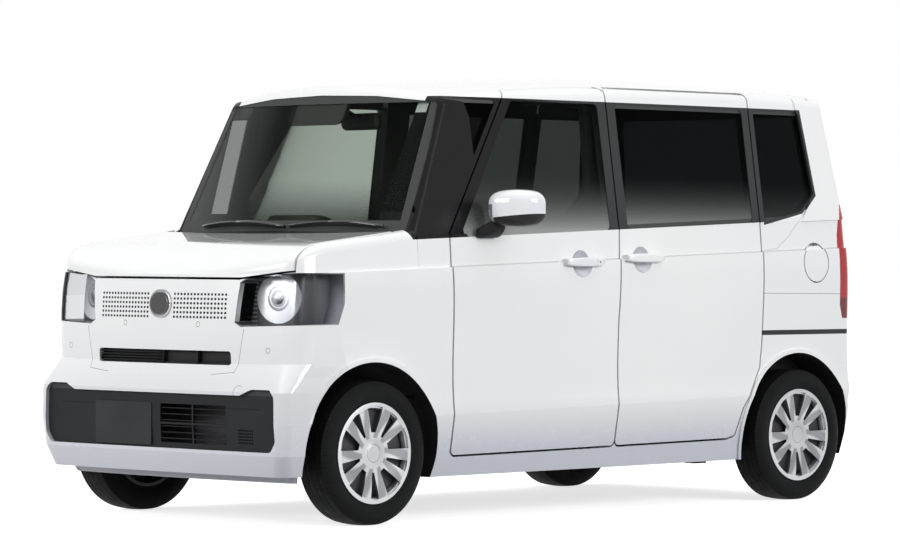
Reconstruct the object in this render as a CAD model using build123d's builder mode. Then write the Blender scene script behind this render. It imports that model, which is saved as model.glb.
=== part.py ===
"""Kei car: a tall five-door box wagon with hinged front doors, sliding rear doors and a top-hung tailgate.

Millimetres. The nose points along -Y, the car's left side is +X, and Z=0 is the road.
The origin is on the road at the middle of the overall length and width.
"""

import os
from copy import deepcopy
from math import cos, radians, sin

from build123d import *

os.makedirs("parts", exist_ok=True)

# ---------------------------------------------------------------- driving sizes

length = 3395
width = 1475
height = 1790
wheelbase = 2520
track = 1305
front_overhang = 486
front_end = -length / 2
rear_end = length / 2
front_axle_y = front_end + front_overhang
rear_axle_y = front_axle_y + wheelbase

# Wall thicknesses
door_wall = 62
pillar_wall = 34
panel_wall = 22
roof_wall = 30
glass_wall = 5
glass_sink = 3
seat_clearance = 0.4

# Wheel covers
cover_radius = 194.5
arm_pairs = 5
window_in = 80
window_out = 176
hub_reach = 42

# Nose fittings
grille_sink = 16
grille_wall = 12
plate_x = -196
plate_size = (330, 165)
plate_bottom_z = 298
vent_hole_radius = 3.6
vent_hole_depth = 7
lens_wall = 3
lamp_wall = 4
lamp_depth = 85
lamp_ring_radius = 80
lamp_ring_bar = 7
projector_radius = 30
projector_depth = 70
lamp_turn = 30

# Shut lines
door_gap = 8
groove_width = 3
groove_depth = 8

# Door handles
handle_half = 116
handle_bar = 13
scoop_radius = 72
scoop_sink = 38
front_handle = (-54, 1012)
slide_handle = (308, 1029)

# Tyres and wheels
tyre_radius = 278.5
tyre_width = 155
rim_radius = 178
axle_z = tyre_radius
arch_radius = 347
flare_width = 18
flare_proud = 7
liner_wall = 6
liner_inner_x = {"front": 400, "rear": 548}

# Body sections. Each is a plan outline on a plane that climbs towards the tail.
# z: height at the middle of the car; rise: climb per mm of length; side, nose, tail: how far the outline lies
# inside the overall width and length; crown: how far the nose falls back at its corners; nose_r, tail_r: corner
# radii.
SECTION = "z rise side nose tail crown nose_r tail_r".split()
LOWER = [
    (178, 0.005, 45.5, 107.5, 25.5, 40, 100, 40),
    (258, 0.012, 28.5, 72.5, 9.5, 44, 105, 40),
    (432, 0.020, 0, 42.5, 0, 48, 110, 40),
    (655, 0.026, 8.5, 33.5, 7.5, 52, 115, 42),
    (890, 0.032, 1.5, 33.5, 11.5, 56, 115, 44),
    (1018, 0.0345, 7.5, 45.5, 15.5, 58, 115, 46),
]
SMOOTH_FROM = 2
BUMPER = [
    (205, 0.005, 37.5, 29.5, 57.5, 20, 55, 60),
    (290, 0.008, 11.5, 7.5, 57.5, 16, 52, 60),
    (410, 0.010, 0, 0, 57.5, 14, 50, 60),
    (540, 0.014, 1.5, 0, 57.5, 15, 52, 60),
    (598, 0.016, 7.5, 15.5, 57.5, 34, 80, 60),
    (650, 0.018, 9.5, 33.5, 57.5, 50, 105, 60),
]
SHOULDER = [
    (1010, 0.0345, 16.5, 55.5, 17.5, 58, 115, 46),
    (1150, 0.040, 25.5, 55.5, 25.5, 58, 115, 50),
]
BONNET = [
    (1010, 0.0345, 16.5, 45.5, 17.5, 58, 115, 76),
    (1230, 0.040, 37.5, 45.5, 25.5, 58, 115, 80),
]
GREENHOUSE = [
    (1132, 0.040, 25.5, 619.5, 25.5, 84, 34, 50),
    (height + 40, 0.015, 130.5, 953.5, 111.5, 76, 40, 60),
]
side_bow = 22
rear_crown = 14
quarter_swell = 9

# Roof: crowned across and arched along
roof_arch_radius = 16000
roof_apex_y = 750
roof_crown_radius = 3100
roof_edge_radius = 50

# Bonnet: a straight top that rolls down to the nose
bonnet_rear_z = 1129
bonnet_bend_y = -1440
bonnet_bend_z = 1086
bonnet_nose_y = -1656
bonnet_nose_z = 950
bonnet_edge_radius = 45
bonnet_tail_y = -1060
cowl_gap = 62

# Side view lines, as (y, z)
door_front_y = -782
door_front_radius = 22
door_top_z = 1722
door_inner_x = 585
glass_top_z = 1654


def belt(y):
    return 1137 + 0.040 * y


def shoulder_line(y):
    return 1018 + 0.0345 * y


def sill_line(y):
    return 262 + 0.012 * y


def outline(row, inset=0.0, half_extra=0.0):
    """A plan outline: crowned ends, bowed sides and rounded corners, taken in by inset."""
    s = dict(zip(SECTION, row))
    half = width / 2 - s["side"] - inset + half_extra
    slant = (1 + s["rise"] ** 2) ** 0.5
    nose = (front_end + s["nose"]) * slant + inset
    tail = (rear_end - s["tail"]) * slant - inset
    end_half = half - side_bow
    nose_corner = nose + s["crown"]
    tail_corner = tail - rear_crown
    with BuildSketch(Plane((0, 0, s["z"]), x_dir=(1, 0, 0), z_dir=(0, -s["rise"], 1))) as sketch:
        with BuildLine():
            ThreePointArc((-end_half, nose_corner), (0, nose), (end_half, nose_corner))
            ThreePointArc((end_half, nose_corner), (half, 100), (end_half, tail_corner))
            ThreePointArc((end_half, tail_corner), (0, tail), (-end_half, tail_corner))
            ThreePointArc((-end_half, tail_corner), (-half, 100), (-end_half, nose_corner))
        make_face()
        fillet(sketch.vertices().sort_by(Axis.Y)[:2], max(s["nose_r"] - inset, 20))
        fillet(sketch.vertices().sort_by(Axis.Y)[-2:], max(s["tail_r"] - inset, 20))
    return sketch.sketch.face()


def roof_slab(drop):
    """Everything under the crowned roof, drop below its outer face."""
    apex = height - drop
    edge = 900
    fall = edge**2 / (2 * roof_crown_radius)
    with BuildPart() as slab:
        with BuildSketch(Plane.XZ.offset(-roof_apex_y)):
            with BuildLine():
                ThreePointArc((-edge, apex - fall), (0, apex), (edge, apex - fall))
                Polyline((edge, apex - fall), (edge, 1000), (-edge, 1000), (-edge, apex - fall))
            make_face()
        axis = Axis((0, roof_apex_y, apex - roof_arch_radius), (1, 0, 0))
        revolve(axis=axis, revolution_arc=10)
        mirror(about=Plane.XZ.offset(-roof_apex_y))
    return slab.part


def under_bonnet(drop):
    """Everything under the bonnet's top line, drop below its outer face."""
    with BuildPart() as under:
        with BuildSketch(Plane.YZ):
            with BuildLine():
                top = Line((bonnet_tail_y + 100, bonnet_rear_z + 11 - drop), (bonnet_bend_y, bonnet_bend_z - drop))
                nose = TangentArc(top @ 1, (bonnet_nose_y + drop, bonnet_nose_z), tangent=top % 1)
                Polyline(nose @ 1, (bonnet_nose_y + drop, 850), (bonnet_tail_y + 100, 850), top @ 0)
            make_face()
        extrude(amount=width, both=True)
    return under.part


def slab_between(y0, y1, z0=-100, z1=2200, x0=-1000, x1=1000):
    """A plain box between two stations, for keeping or cutting a stretch of the body."""
    with BuildPart() as box:
        with Locations(((x0 + x1) / 2, (y0 + y1) / 2, (z0 + z1) / 2)):
            Box(x1 - x0, y1 - y0, z1 - z0)
    return box.part


def box_between(x0, x1, y0, y1, z0, z1, edge=0, axis=None):
    """A box between its limits, with the edges along one axis (or all) rounded."""
    with BuildPart() as box:
        with Locations(((x0 + x1) / 2, (y0 + y1) / 2, (z0 + z1) / 2)):
            Box(x1 - x0, y1 - y0, z1 - z0)
        if edge:
            fillet(box.edges().filter_by(axis) if axis else box.edges(), edge)
    return box.part


def rod(start, end, radius):
    """A round bar between two points."""
    with BuildPart() as bar:
        with BuildSketch(Plane(origin=start, z_dir=Vector(*end) - Vector(*start))):
            Circle(radius)
        extrude(amount=(Vector(*end) - Vector(*start)).length)
    return bar.part


def greenhouse(inset, drop, edge_radius=0, half_extra=0.0):
    with BuildPart() as house:
        loft([outline(row, inset, half_extra) for row in GREENHOUSE], ruled=True)
        add(roof_slab(drop), mode=Mode.INTERSECT)
        if edge_radius:
            rails = house.edges().filter_by(lambda e: e.length > 1500 and e.center().Z > 1600)
            fillet(rails, edge_radius)
    return house.part


def lower_body(inset, base_z=None):
    """The body below the shoulder crease."""
    rows = [LOWER[0] if base_z is None else (base_z, *LOWER[0][1:]), *LOWER[1:]]
    with BuildPart() as lower:
        for a, b in zip(rows[:SMOOTH_FROM], rows[1:]):
            loft([outline(a, inset), outline(b, inset)], ruled=True)
        loft([outline(row, inset) for row in rows[SMOOTH_FROM:]])
    return lower.part


def bonnet_block(inset, edge_radius=0):
    with BuildPart() as block:
        loft([outline(row, inset) for row in BONNET], ruled=True)
        add(under_bonnet(inset), mode=Mode.INTERSECT)
        if edge_radius:
            sides = block.edges().filter_by(
                lambda e: abs(e.center().X) > 600 and abs((e @ 0).Y - (e @ 1).Y) > 100 and e.center().Z > 1030
            )
            fillet(sides, edge_radius)
    return block.part


def side_outline(points, radii):
    """A closed outline in side view, as a prism right across the car."""
    with BuildPart() as prism:
        with BuildSketch(Plane.YZ):
            with BuildLine():
                FilletPolyline(*points, radius=radii, close=True)
            make_face()
        extrude(amount=width, both=True)
    return prism.part


# ---------------------------------------------------------------- the whole body form and its shell

cab_front_y = -930
bulkhead_wall = 15
nose_end_y = cab_front_y - bulkhead_wall

quarter_step = [
    (1080, 978), (1080, 1057), (1160, 1060), (1335, 1170), (1432, 1300), (1392, 1640), (1372, 1850), (1900, 1850),
    (1900, 978),
]
swell_line = [(690, 900), (585, 1900), (900, 1900), (900, 900)]
with BuildPart() as swell_area:
    with BuildSketch(Plane.XZ):
        Polygon(*swell_line, align=None)
    extrude(amount=1700, both=True)
    mirror(about=Plane.YZ)

with BuildPart() as quarter_form:
    add(greenhouse(0, 0, roof_edge_radius, quarter_swell))
    add(side_outline(quarter_step, [1, 1, 90, 90, 90, 100, 1, 1, 1]), mode=Mode.INTERSECT)
    add(swell_area.part, mode=Mode.INTERSECT)


def wheel_cylinder(axle_y, radius, x0, x1):
    """A cylinder about a wheel's axis, on the left side."""
    with BuildPart() as cylinder:
        with BuildSketch(Plane.YZ.offset(x0)):
            with Locations((axle_y, axle_z)):
                Circle(radius)
        extrude(amount=x1 - x0)
    return cylinder.part


with BuildPart() as flare_rings:
    for axle_y in (front_axle_y, rear_axle_y):
        add(wheel_cylinder(axle_y, arch_radius + flare_width, 600, 800))
    mirror(about=Plane.YZ)

with BuildPart() as flares:
    add(lower_body(-flare_proud))
    add(flare_rings.part, mode=Mode.INTERSECT)

with BuildPart() as bumper_form:
    loft([outline(row) for row in BUMPER], ruled=True)
    add(slab_between(-1800, -1330), mode=Mode.INTERSECT)

with BuildPart() as shoulder:
    loft([outline(row) for row in SHOULDER], ruled=True)
    add(slab_between(-965, 1800), mode=Mode.INTERSECT)

with BuildPart() as body_form:
    add(lower_body(0))
    add(flares.part)
    add(bumper_form.part)
    add(bonnet_block(0, bonnet_edge_radius).intersect(slab_between(-1800, -960)))
    add(shoulder.part)
    add(greenhouse(0, 0, roof_edge_radius))
    add(quarter_form.part)

with BuildPart() as cabin_form:
    add(lower_body(door_wall, 150))
    loft([outline(row, door_wall) for row in SHOULDER], ruled=True)
    add(slab_between(cab_front_y, 1800), mode=Mode.INTERSECT)
    add(greenhouse(pillar_wall, roof_wall))

with BuildPart() as nose_form:
    add(lower_body(panel_wall, 150))
    add(bonnet_block(panel_wall))
    add(slab_between(-1800, nose_end_y), mode=Mode.INTERSECT)

with BuildPart() as shell:
    add(body_form.part)
    add(cabin_form.part, mode=Mode.SUBTRACT, clean=False)
    add(nose_form.part, mode=Mode.SUBTRACT, clean=False)

left_side = deepcopy(shell.part) & slab_between(-1800, 1800, x0=0)
nose_shell = deepcopy(shell.part) & slab_between(-1800, nose_end_y)

with BuildPart() as glass_skin:
    add(greenhouse(glass_sink, glass_sink))
    add(greenhouse(glass_sink + glass_wall, glass_sink + glass_wall), mode=Mode.SUBTRACT)


def both_sides(part):
    """A left-hand part together with its mirror image."""
    with BuildPart() as pair:
        add(part)
        mirror(about=Plane.YZ)
    return pair.part


def mirrored(part):
    return part.mirror(Plane.YZ)


half_gap = door_gap / 2

# ---------------------------------------------------------------- doors

front_door_line = [
    (door_front_y, sill_line(door_front_y)), (door_front_y - 8, belt(door_front_y)), (-372, door_top_z),
    (182, door_top_z), (184, 1141), (162, 770), (161, sill_line(161)),
]
sliding_door_line = [
    (161, sill_line(161)), (162, 770), (184, 1141), (182, door_top_z), (1076, door_top_z), (1072, 1189),
    (1077, 1046), (1071, 666), (1057, 567), (949, 396), (915, 285), (864, sill_line(864)),
]
front_glass_line = [(-722, belt(-722)), (-365, glass_top_z), (130, glass_top_z), (134, belt(134))]
sliding_glass_line = [(238, belt(238)), (234, glass_top_z), (1030, glass_top_z), (1026, belt(1026))]
quarter_glass_line = [(1104, 1182), (1106, glass_top_z), (1402, glass_top_z), (1444, 1303), (1354, 1230)]
vent_glass_line = [(-985, 1118), (-722, glass_top_z), (-448, glass_top_z), (-812, 1118)]


def prism(points, amount, radius):
    """A side view outline moved outward by amount (inward when negative), as a prism right across the car."""
    with BuildPart() as block:
        with BuildSketch(Plane.YZ) as sketch:
            with BuildLine():
                Polyline(*points, close=True)
            make_face()
            if amount:
                offset(amount=amount, kind=Kind.INTERSECTION, mode=Mode.REPLACE)
            fillet(sketch.vertices(), radius)
        extrude(amount=width, both=True)
    return block.part


def door_panel(line, glass_line, handle_place):
    """A whole door, as thick as its frame, with its window cut and the scoop behind its handle."""
    handle_y, handle_z = handle_place
    with BuildPart() as scoop:
        with Locations((handle_x + scoop_sink, handle_y, handle_z)):
            Sphere(scoop_radius)
    with BuildPart() as door:
        add(deepcopy(left_side))
        add(prism(line, -half_gap, door_front_radius), mode=Mode.INTERSECT)
        add(slab_between(-1800, 1800, x0=door_inner_x), mode=Mode.INTERSECT)
        add([prism(glass_line, 0, 24), scoop.part], mode=Mode.SUBTRACT)
    return door.part


def pane(glass_line, radius=24):
    with BuildPart() as glass:
        add(deepcopy(glass_skin.part))
        add(prism(glass_line, 0, radius), mode=Mode.INTERSECT)
        add(slab_between(-1800, 1800, x0=400), mode=Mode.INTERSECT)
    return glass.part


handle_x = width / 2 - 4
front_door_left = door_panel(front_door_line, front_glass_line, front_handle)
sliding_door_left = door_panel(sliding_door_line, sliding_glass_line, slide_handle)
front_pane_left = pane(front_glass_line)
sliding_pane_left = pane(sliding_glass_line)
quarter_pane_left = pane(quarter_glass_line)


# ---------------------------------------------------------------- regions of the other panels

fender_line = [(-1800, 100), (door_front_y, 100), (-790, belt(-790)), (-985, belt(-985)), (-1060, 1220), (-1800, 1220)]
bumper_line = [(-1800, 120), (-1330, 120), (-1330, 560), (-1398, 763), (-1406, 781), (-1800, 781)]
lamp_rear_line = [(-1800, 700), (-1440, 700), (-1399, 774), (-1369, 850), (-1361, 1050), (-1800, 1050)]
lamp_front_line = [(398, 783), (437, 762), (800, 774), (800, 971), (664, 968), (468, 954), (410, 925)]
nose_panel_line = [(-362, 745), (362, 745), (408, 783), (424, 925), (420, 941), (-420, 941), (-424, 925), (-408, 783)]
bonnet_front_line = [(-664, 974), (-424, 946), (424, 946), (664, 974), (664, 1400), (-664, 1400)]
bonnet_half = 664
rear_lamp_line = [(645, 772), (800, 772), (800, 1262), (655, 1262)]
rear_lamp_side_line = [(1612, 772), (1594, 830), (1590, 1130), (1614, 1262), (1800, 1262), (1800, 772)]
rail_slot = {"y": (1060, 1667), "z": (705, 725), "x": 706}
tailgate_line = [(-636, 606), (636, 606), (648, 1240), (606, 1650), (586, 1900), (-586, 1900), (-606, 1650), (-648, 1240)]
tailgate_front_y = 1512
windscreen_line = [
    (-690, 1112), (-300, 1128), (0, 1130), (300, 1128), (690, 1112), (597, 1640), (300, 1668), (0, 1676),
    (-300, 1668), (-597, 1640),
]
windscreen_side_line = [(-1250, 900), (-990, 900), (-990, 1112), (-722, 1676), (-722, 1800), (-1250, 1800)]
pillar_face = 16
rear_glass_line = [(-588, 1195), (588, 1195), (560, 1640), (-560, 1640)]
rear_bumper_line = [(1560, 100), (1800, 100), (1800, 600), (1645, 600), (1640, 420)]
fuel_lid_centre = (1430, 1010)
fuel_lid_radius = 80
fuel_lid_wall = 12


def front_prism(points, amount, radius, y0, y1):
    """A front view outline moved outward by amount, as a prism from y0 to y1."""
    with BuildPart() as block:
        with BuildSketch(Plane.XZ.offset(-y0)) as sketch:
            with BuildLine():
                Polyline(*points, close=True)
            make_face()
            if amount:
                offset(amount=amount, kind=Kind.INTERSECTION, mode=Mode.REPLACE)
            if radius:
                fillet(sketch.vertices(), radius)
        extrude(amount=-(y1 - y0))
    return block.part


def bonnet_plan(amount):
    """The bonnet's outline from above, as a prism."""
    half = bonnet_half + amount
    tail = bonnet_tail_y + amount
    with BuildPart() as block:
        with BuildSketch(Plane.XY.offset(900)):
            with BuildLine():
                rear = ThreePointArc((-half, tail), (0, tail - 80), (half, tail))
                Polyline(rear @ 1, (half, -1750), (-half, -1750), rear @ 0)
            make_face()
        extrude(amount=400)
        add(front_prism(bonnet_front_line, amount, 0, -1800, -900), mode=Mode.INTERSECT)
    return block.part


def windscreen_region(amount):
    """The windscreen's opening, grown by amount: an outline from the front and a limit from the side."""
    with BuildPart() as region:
        add(front_prism(windscreen_line, amount, 20, -1200, -600))
        add(prism(windscreen_side_line, 0, 1), mode=Mode.INTERSECT)
    return region.part


with BuildPart() as vent_region:
    add(prism(vent_glass_line, 0, 12))
    add(slab_between(-1100, -400, x0=560), mode=Mode.INTERSECT)
    add(front_prism(windscreen_line, pillar_face, 20, -1200, -600), mode=Mode.SUBTRACT)

with BuildPart() as arch_space:
    for name, axle_y in (("front", front_axle_y), ("rear", rear_axle_y)):
        add(wheel_cylinder(axle_y, arch_radius, liner_inner_x[name], 800))
    mirror(about=Plane.YZ)

with BuildPart() as liner_space:
    for name, axle_y in (("front", front_axle_y), ("rear", rear_axle_y)):
        add(wheel_cylinder(axle_y, arch_radius + liner_wall, liner_inner_x[name] - liner_wall, 715))
    mirror(about=Plane.YZ)



def fuel_disc(radius, x0):
    with BuildPart() as disc:
        with BuildSketch(Plane.YZ.offset(x0)):
            with Locations(fuel_lid_centre):
                Circle(radius)
        extrude(amount=800 - x0)
    return disc.part


def fuel_lid_side(sink):
    """What lies outboard of the lid's inner face, taken in by sink."""
    with BuildPart() as side:
        with BuildSketch(Plane.XY.offset(800)):
            Polygon((707 - sink, 1300), (700 - sink, 1560), (800, 1560), (800, 1300), align=None)
        extrude(amount=400)
    return side.part


with BuildPart() as lid_space:
    add(fuel_disc(fuel_lid_radius + 6, 600))
    add(fuel_lid_side(seat_clearance), mode=Mode.INTERSECT)

with BuildPart() as fuel_pocket:
    add(fuel_disc(fuel_lid_radius + 6, 666))
    add(fuel_disc(36, 600), mode=Mode.SUBTRACT)
    add(lid_space.part)

# ---------------------------------------------------------------- front panels

nose_region = front_prism(nose_panel_line, 0, 12, -1800, -1500)
intake_line = [
    (-640, 290), (640, 290), (668, 330), (664, 500), (640, 527), (540, 527), (480, 503), (-480, 503), (-540, 527),
    (-640, 527), (-664, 500), (-668, 330),
]
intake_radius = 24
slot_line = [(-380, 615), (390, 615), (386, 668), (-378, 668)]
slot_radius = 12


def lamp_space(inset):
    """The left headlamp's outline, taken in by inset, as a block from the nose back past the lamp."""
    with BuildPart() as space:
        add(front_prism(lamp_front_line, -inset, 8, -1800, -1300))
        add(prism(lamp_rear_line, -inset, 8), mode=Mode.INTERSECT)
        add(nose_region, mode=Mode.SUBTRACT)
    return space.part


left_lamp_space = lamp_space(0)
lamp_region = both_sides(left_lamp_space)

with BuildPart() as front_bumper:
    add(deepcopy(nose_shell))
    add(prism(bumper_line, 0, 1), mode=Mode.INTERSECT, clean=False)
    add(lamp_region, mode=Mode.SUBTRACT, clean=False)
    add(nose_region, mode=Mode.SUBTRACT, clean=False)
    add(front_prism(intake_line, 0, intake_radius, -1800, -1560), mode=Mode.SUBTRACT, clean=False)
    add(front_prism(slot_line, 0, slot_radius, -1800, -1560), mode=Mode.SUBTRACT, clean=False)
    add(arch_space.part, mode=Mode.SUBTRACT, clean=False)

# The nose panel's holes: two blocks either side of the middle, in rows of a fixed pitch.
vent_block_x = 217
vent_block_z = 840
vent_pitch = (18.6, 17.6)
vent_count = (16, 6)
with BuildPart() as nose_panel:
    add(deepcopy(nose_shell))
    add(nose_region, mode=Mode.INTERSECT, clean=False)
    with BuildSketch(Plane.XZ.offset(1700)):
        with Locations((-vent_block_x, vent_block_z), (vent_block_x, vent_block_z)):
            with GridLocations(*vent_pitch, *vent_count):
                Circle(vent_hole_radius)
    extrude(amount=-(1700 - 1664 + 14 + vent_hole_depth), mode=Mode.SUBTRACT, clean=False)

with BuildPart() as bonnet:
    add(deepcopy(nose_shell))
    add(bonnet_plan(-half_gap), mode=Mode.INTERSECT)

lamp_centre = Vector(559, -1580, 872)
lamp_axis = Vector(sin(radians(lamp_turn)), -cos(radians(lamp_turn)), 0)
lamp_plane = Plane(origin=lamp_centre, x_dir=(cos(radians(lamp_turn)), sin(radians(lamp_turn)), 0), z_dir=lamp_axis)

with BuildPart() as lamp_lens:
    add(lower_body(0))
    add(lower_body(lens_wall), mode=Mode.SUBTRACT, clean=False)
    add(left_lamp_space, mode=Mode.INTERSECT, clean=False)
    add(bonnet_plan(half_gap), mode=Mode.SUBTRACT, clean=False)

with BuildPart() as lamp_hollow:
    add(lower_body(lens_wall))
    add(lower_body(lamp_depth - lamp_wall), mode=Mode.SUBTRACT)
    add(lamp_space(lamp_wall), mode=Mode.INTERSECT)

with BuildPart() as lamp_projector:
    with BuildSketch(lamp_plane.offset(-projector_depth)):
        Circle(projector_radius)
    extrude(amount=projector_depth + 24)
    with BuildSketch(Plane(origin=lamp_centre, x_dir=lamp_plane.x_dir, z_dir=lamp_plane.y_dir * -1)):
        with Locations((lamp_ring_radius, 0)):
            Circle(lamp_ring_bar)
    revolve(axis=Axis(lamp_centre, lamp_axis))
    for angle in (60, 180, 300):
        spoke = lamp_plane.x_dir.rotate(Axis((0, 0, 0), lamp_axis), angle) * lamp_ring_radius
        add(rod(tuple(lamp_centre), tuple(lamp_centre + spoke), lamp_ring_bar - 2))

with BuildPart() as lamp_housing:
    add(lower_body(lens_wall))
    add(lower_body(lamp_depth), mode=Mode.SUBTRACT, clean=False)
    add(left_lamp_space, mode=Mode.INTERSECT, clean=False)
    add(bonnet_plan(half_gap), mode=Mode.SUBTRACT, clean=False)
    add(lamp_hollow.part, mode=Mode.SUBTRACT, clean=False)

with BuildPart() as lamp_works:
    add(lower_body(lens_wall + 1))
    add(left_lamp_space, mode=Mode.INTERSECT)
    add(lamp_projector.part, mode=Mode.INTERSECT)

with BuildPart() as headlamp_left:
    add(lamp_housing.part)
    add(lamp_works.part)
lens_left = lamp_lens.solids().sort_by(SortBy.VOLUME)[-1]
lamp_left = headlamp_left.solids().sort_by(SortBy.VOLUME)[-1]

bulkhead_half = 655
with BuildPart() as bulkhead:
    add(deepcopy(shell.part))
    add(slab_between(nose_end_y, cab_front_y, z1=1118, x0=-bulkhead_half, x1=bulkhead_half), mode=Mode.INTERSECT)
    add(liner_space.part, mode=Mode.SUBTRACT)

bulkhead_plate = bulkhead.solids().sort_by(SortBy.VOLUME)[-1]

with BuildPart() as cowl:
    add(deepcopy(shell.part))
    add(slab_between(-1200, nose_end_y, z0=1000, z1=1300, x0=-bonnet_half, x1=bonnet_half), mode=Mode.INTERSECT)
    add(bonnet_plan(half_gap), mode=Mode.SUBTRACT)
    add(windscreen_region(0), mode=Mode.SUBTRACT)

with BuildPart() as bonnet_seal:
    add(bonnet_block(panel_wall + seat_clearance))
    add(box_between(-90, 90, -1176, -1120, 1082, 1200), mode=Mode.INTERSECT)
    add(box_between(-90, 90, -1132, -1120, 1082, 1108))

with BuildPart() as cowl_with_seal:
    add(cowl.part)
    add(bonnet_seal.part)
cowl_solids = cowl_with_seal.solids()

with BuildPart() as fender_left:
    add(deepcopy(left_side))
    add(prism(fender_line, 0, 1), mode=Mode.INTERSECT, clean=False)
    add(slab_between(-1700, door_front_y, x0=420), mode=Mode.INTERSECT, clean=False)
    add(slab_between(nose_end_y, cab_front_y, x1=bulkhead_half), mode=Mode.SUBTRACT, clean=False)
    add(slab_between(-1200, nose_end_y, z0=1000, z1=1300, x0=-bonnet_half, x1=bonnet_half),
        mode=Mode.SUBTRACT, clean=False)
    add(bonnet_plan(half_gap), mode=Mode.SUBTRACT, clean=False)
    add(prism(bumper_line, 0, 1), mode=Mode.SUBTRACT, clean=False)
    add(lamp_region, mode=Mode.SUBTRACT, clean=False)
    add(nose_region, mode=Mode.SUBTRACT, clean=False)
    add(arch_space.part, mode=Mode.SUBTRACT, clean=False)
    add(prism(front_door_line, half_gap, door_front_radius), mode=Mode.SUBTRACT, clean=False)
front_fenders = both_sides(fender_left.part)

# ---------------------------------------------------------------- cabin shell

door_edge = slab_between(-1800, 1800, x0=door_inner_x - door_gap)
roof_region = slab_between(-840, tailgate_front_y - door_gap, z0=1600, x0=-540, x1=540)
tailgate_region = front_prism(tailgate_line, 0, 20, tailgate_front_y, 1800)
rear_lamp_region = both_sides(
    front_prism(rear_lamp_line, 0, 8, 1560, 1800).intersect(prism(rear_lamp_side_line, 0, 8))
)
rail_slot_region = slab_between(*rail_slot["y"], z0=rail_slot["z"][0], z1=rail_slot["z"][1], x0=rail_slot["x"])

pillar_line = [
    (650, 222.4), (650, 245), (636, 262), (655, 430), (655, 1000), (640, 1130), (640, 1200), (577, 1690), (577, 1708),
    (548, 1708), (600, 1200), (606, 420), (590, 222.4),
]
pillar_front_y = 104
pillar_rear_y = 238

with BuildPart() as seal_area:
    add(slab_between(pillar_front_y + 6, pillar_front_y + 30, z0=560, z1=640, x0=640))
    add(slab_between(pillar_rear_y - 30, pillar_rear_y - 6, z0=560, z1=640, x0=640))

with BuildPart() as seals:
    add(lower_body(door_wall + seat_clearance))
    add(seal_area.part, mode=Mode.INTERSECT)

with BuildPart() as side_left:
    add(deepcopy(left_side))
    add(prism(fender_line, 0, 1), mode=Mode.SUBTRACT, clean=False)
    add(prism(front_door_line, half_gap, door_front_radius + door_gap).intersect(door_edge),
        mode=Mode.SUBTRACT, clean=False)
    add(prism(sliding_door_line, half_gap, door_front_radius + door_gap).intersect(door_edge),
        mode=Mode.SUBTRACT, clean=False)
    add(prism(quarter_glass_line, 0, 24).intersect(door_edge), mode=Mode.SUBTRACT, clean=False)
    add(vent_region.part, mode=Mode.SUBTRACT, clean=False)
    add(windscreen_region(0), mode=Mode.SUBTRACT, clean=False)
    add(slab_between(-1200, cab_front_y, z0=100, z1=1300, x1=bonnet_half), mode=Mode.SUBTRACT, clean=False)
    add(roof_region, mode=Mode.SUBTRACT, clean=False)
    add(front_prism(tailgate_line, door_gap, 20, tailgate_front_y - door_gap, 1800),
        mode=Mode.SUBTRACT, clean=False)
    add([rear_lamp_region, rail_slot_region, prism(rear_bumper_line, 0, 1), arch_space.part],
        mode=Mode.SUBTRACT, clean=False)
    with BuildSketch(Plane.XZ.offset(-pillar_front_y)):
        with BuildLine():
            Polyline(*pillar_line, close=True)
        make_face()
    extrude(amount=-(pillar_rear_y - pillar_front_y), clean=False)
    add(seals.part, clean=False)
side_right = mirrored(side_left.part)
with BuildPart() as side_left_open:
    add(side_left.part)
    add(fuel_pocket.part, mode=Mode.SUBTRACT)

with BuildPart() as gate_seal:
    add(greenhouse(pillar_wall + seat_clearance, roof_wall + seat_clearance))
    add(greenhouse(pillar_wall + 10, roof_wall + 10), mode=Mode.SUBTRACT)
    add(box_between(-220, 220, 1470, 1542, 1600, 1800), mode=Mode.INTERSECT)

with BuildPart() as roof_panel:
    add(deepcopy(shell.part))
    add(roof_region, mode=Mode.INTERSECT)
    add(windscreen_region(0), mode=Mode.SUBTRACT)
    add(gate_seal.part)
    add(box_between(-220, 220, 1470, 1490, 1728, 1745))

with BuildPart() as tailgate:
    add(deepcopy(shell.part))
    add(tailgate_region, mode=Mode.INTERSECT)
    add(front_prism(rear_glass_line, 0, 40, 1500, 1800), mode=Mode.SUBTRACT)

with BuildPart() as rear_bumper:
    add(deepcopy(shell.part))
    add(prism(rear_bumper_line, 0, 1), mode=Mode.INTERSECT)
    add(arch_space.part, mode=Mode.SUBTRACT)

with BuildPart() as tail_lights:
    add(deepcopy(shell.part))
    add(rear_lamp_region, mode=Mode.INTERSECT, clean=False)

with BuildPart() as windscreen:
    add(deepcopy(glass_skin.part))
    add(windscreen_region(0), mode=Mode.INTERSECT)

with BuildPart() as vent_pane:
    add(deepcopy(glass_skin.part))
    add(vent_region.part, mode=Mode.INTERSECT)
vent_pane_left = vent_pane.solids().sort_by(SortBy.VOLUME)[-1]

with BuildPart() as tailgate_glass:
    add(deepcopy(glass_skin.part))
    add(front_prism(rear_glass_line, 0, 40, 1500, 1800), mode=Mode.INTERSECT)

with BuildPart() as fuel_lid:
    add(deepcopy(left_side))
    add(fuel_disc(fuel_lid_radius, 600), mode=Mode.INTERSECT)
    add(fuel_lid_side(0), mode=Mode.INTERSECT)

# ---------------------------------------------------------------- nose fittings

# Openings through the grille, as (x, z, wide, high), and the slats across the main ones
grille_cells = [(204, 386, 2, 2, 189, 79, 181, 71), (-176, 642, 1, 4, 1, 10, 308, 5), (190, 642, 2, 1, 192, 1, 184, 38)]
grille_dots = (496, 346, 9, 5, 9, 12, 5.5, 7)
slat_count = 6
slat_pitch = 23.5
with BuildPart() as grille_back:
    loft([outline(row, grille_sink + grille_wall) for row in BUMPER], ruled=True)

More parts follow.
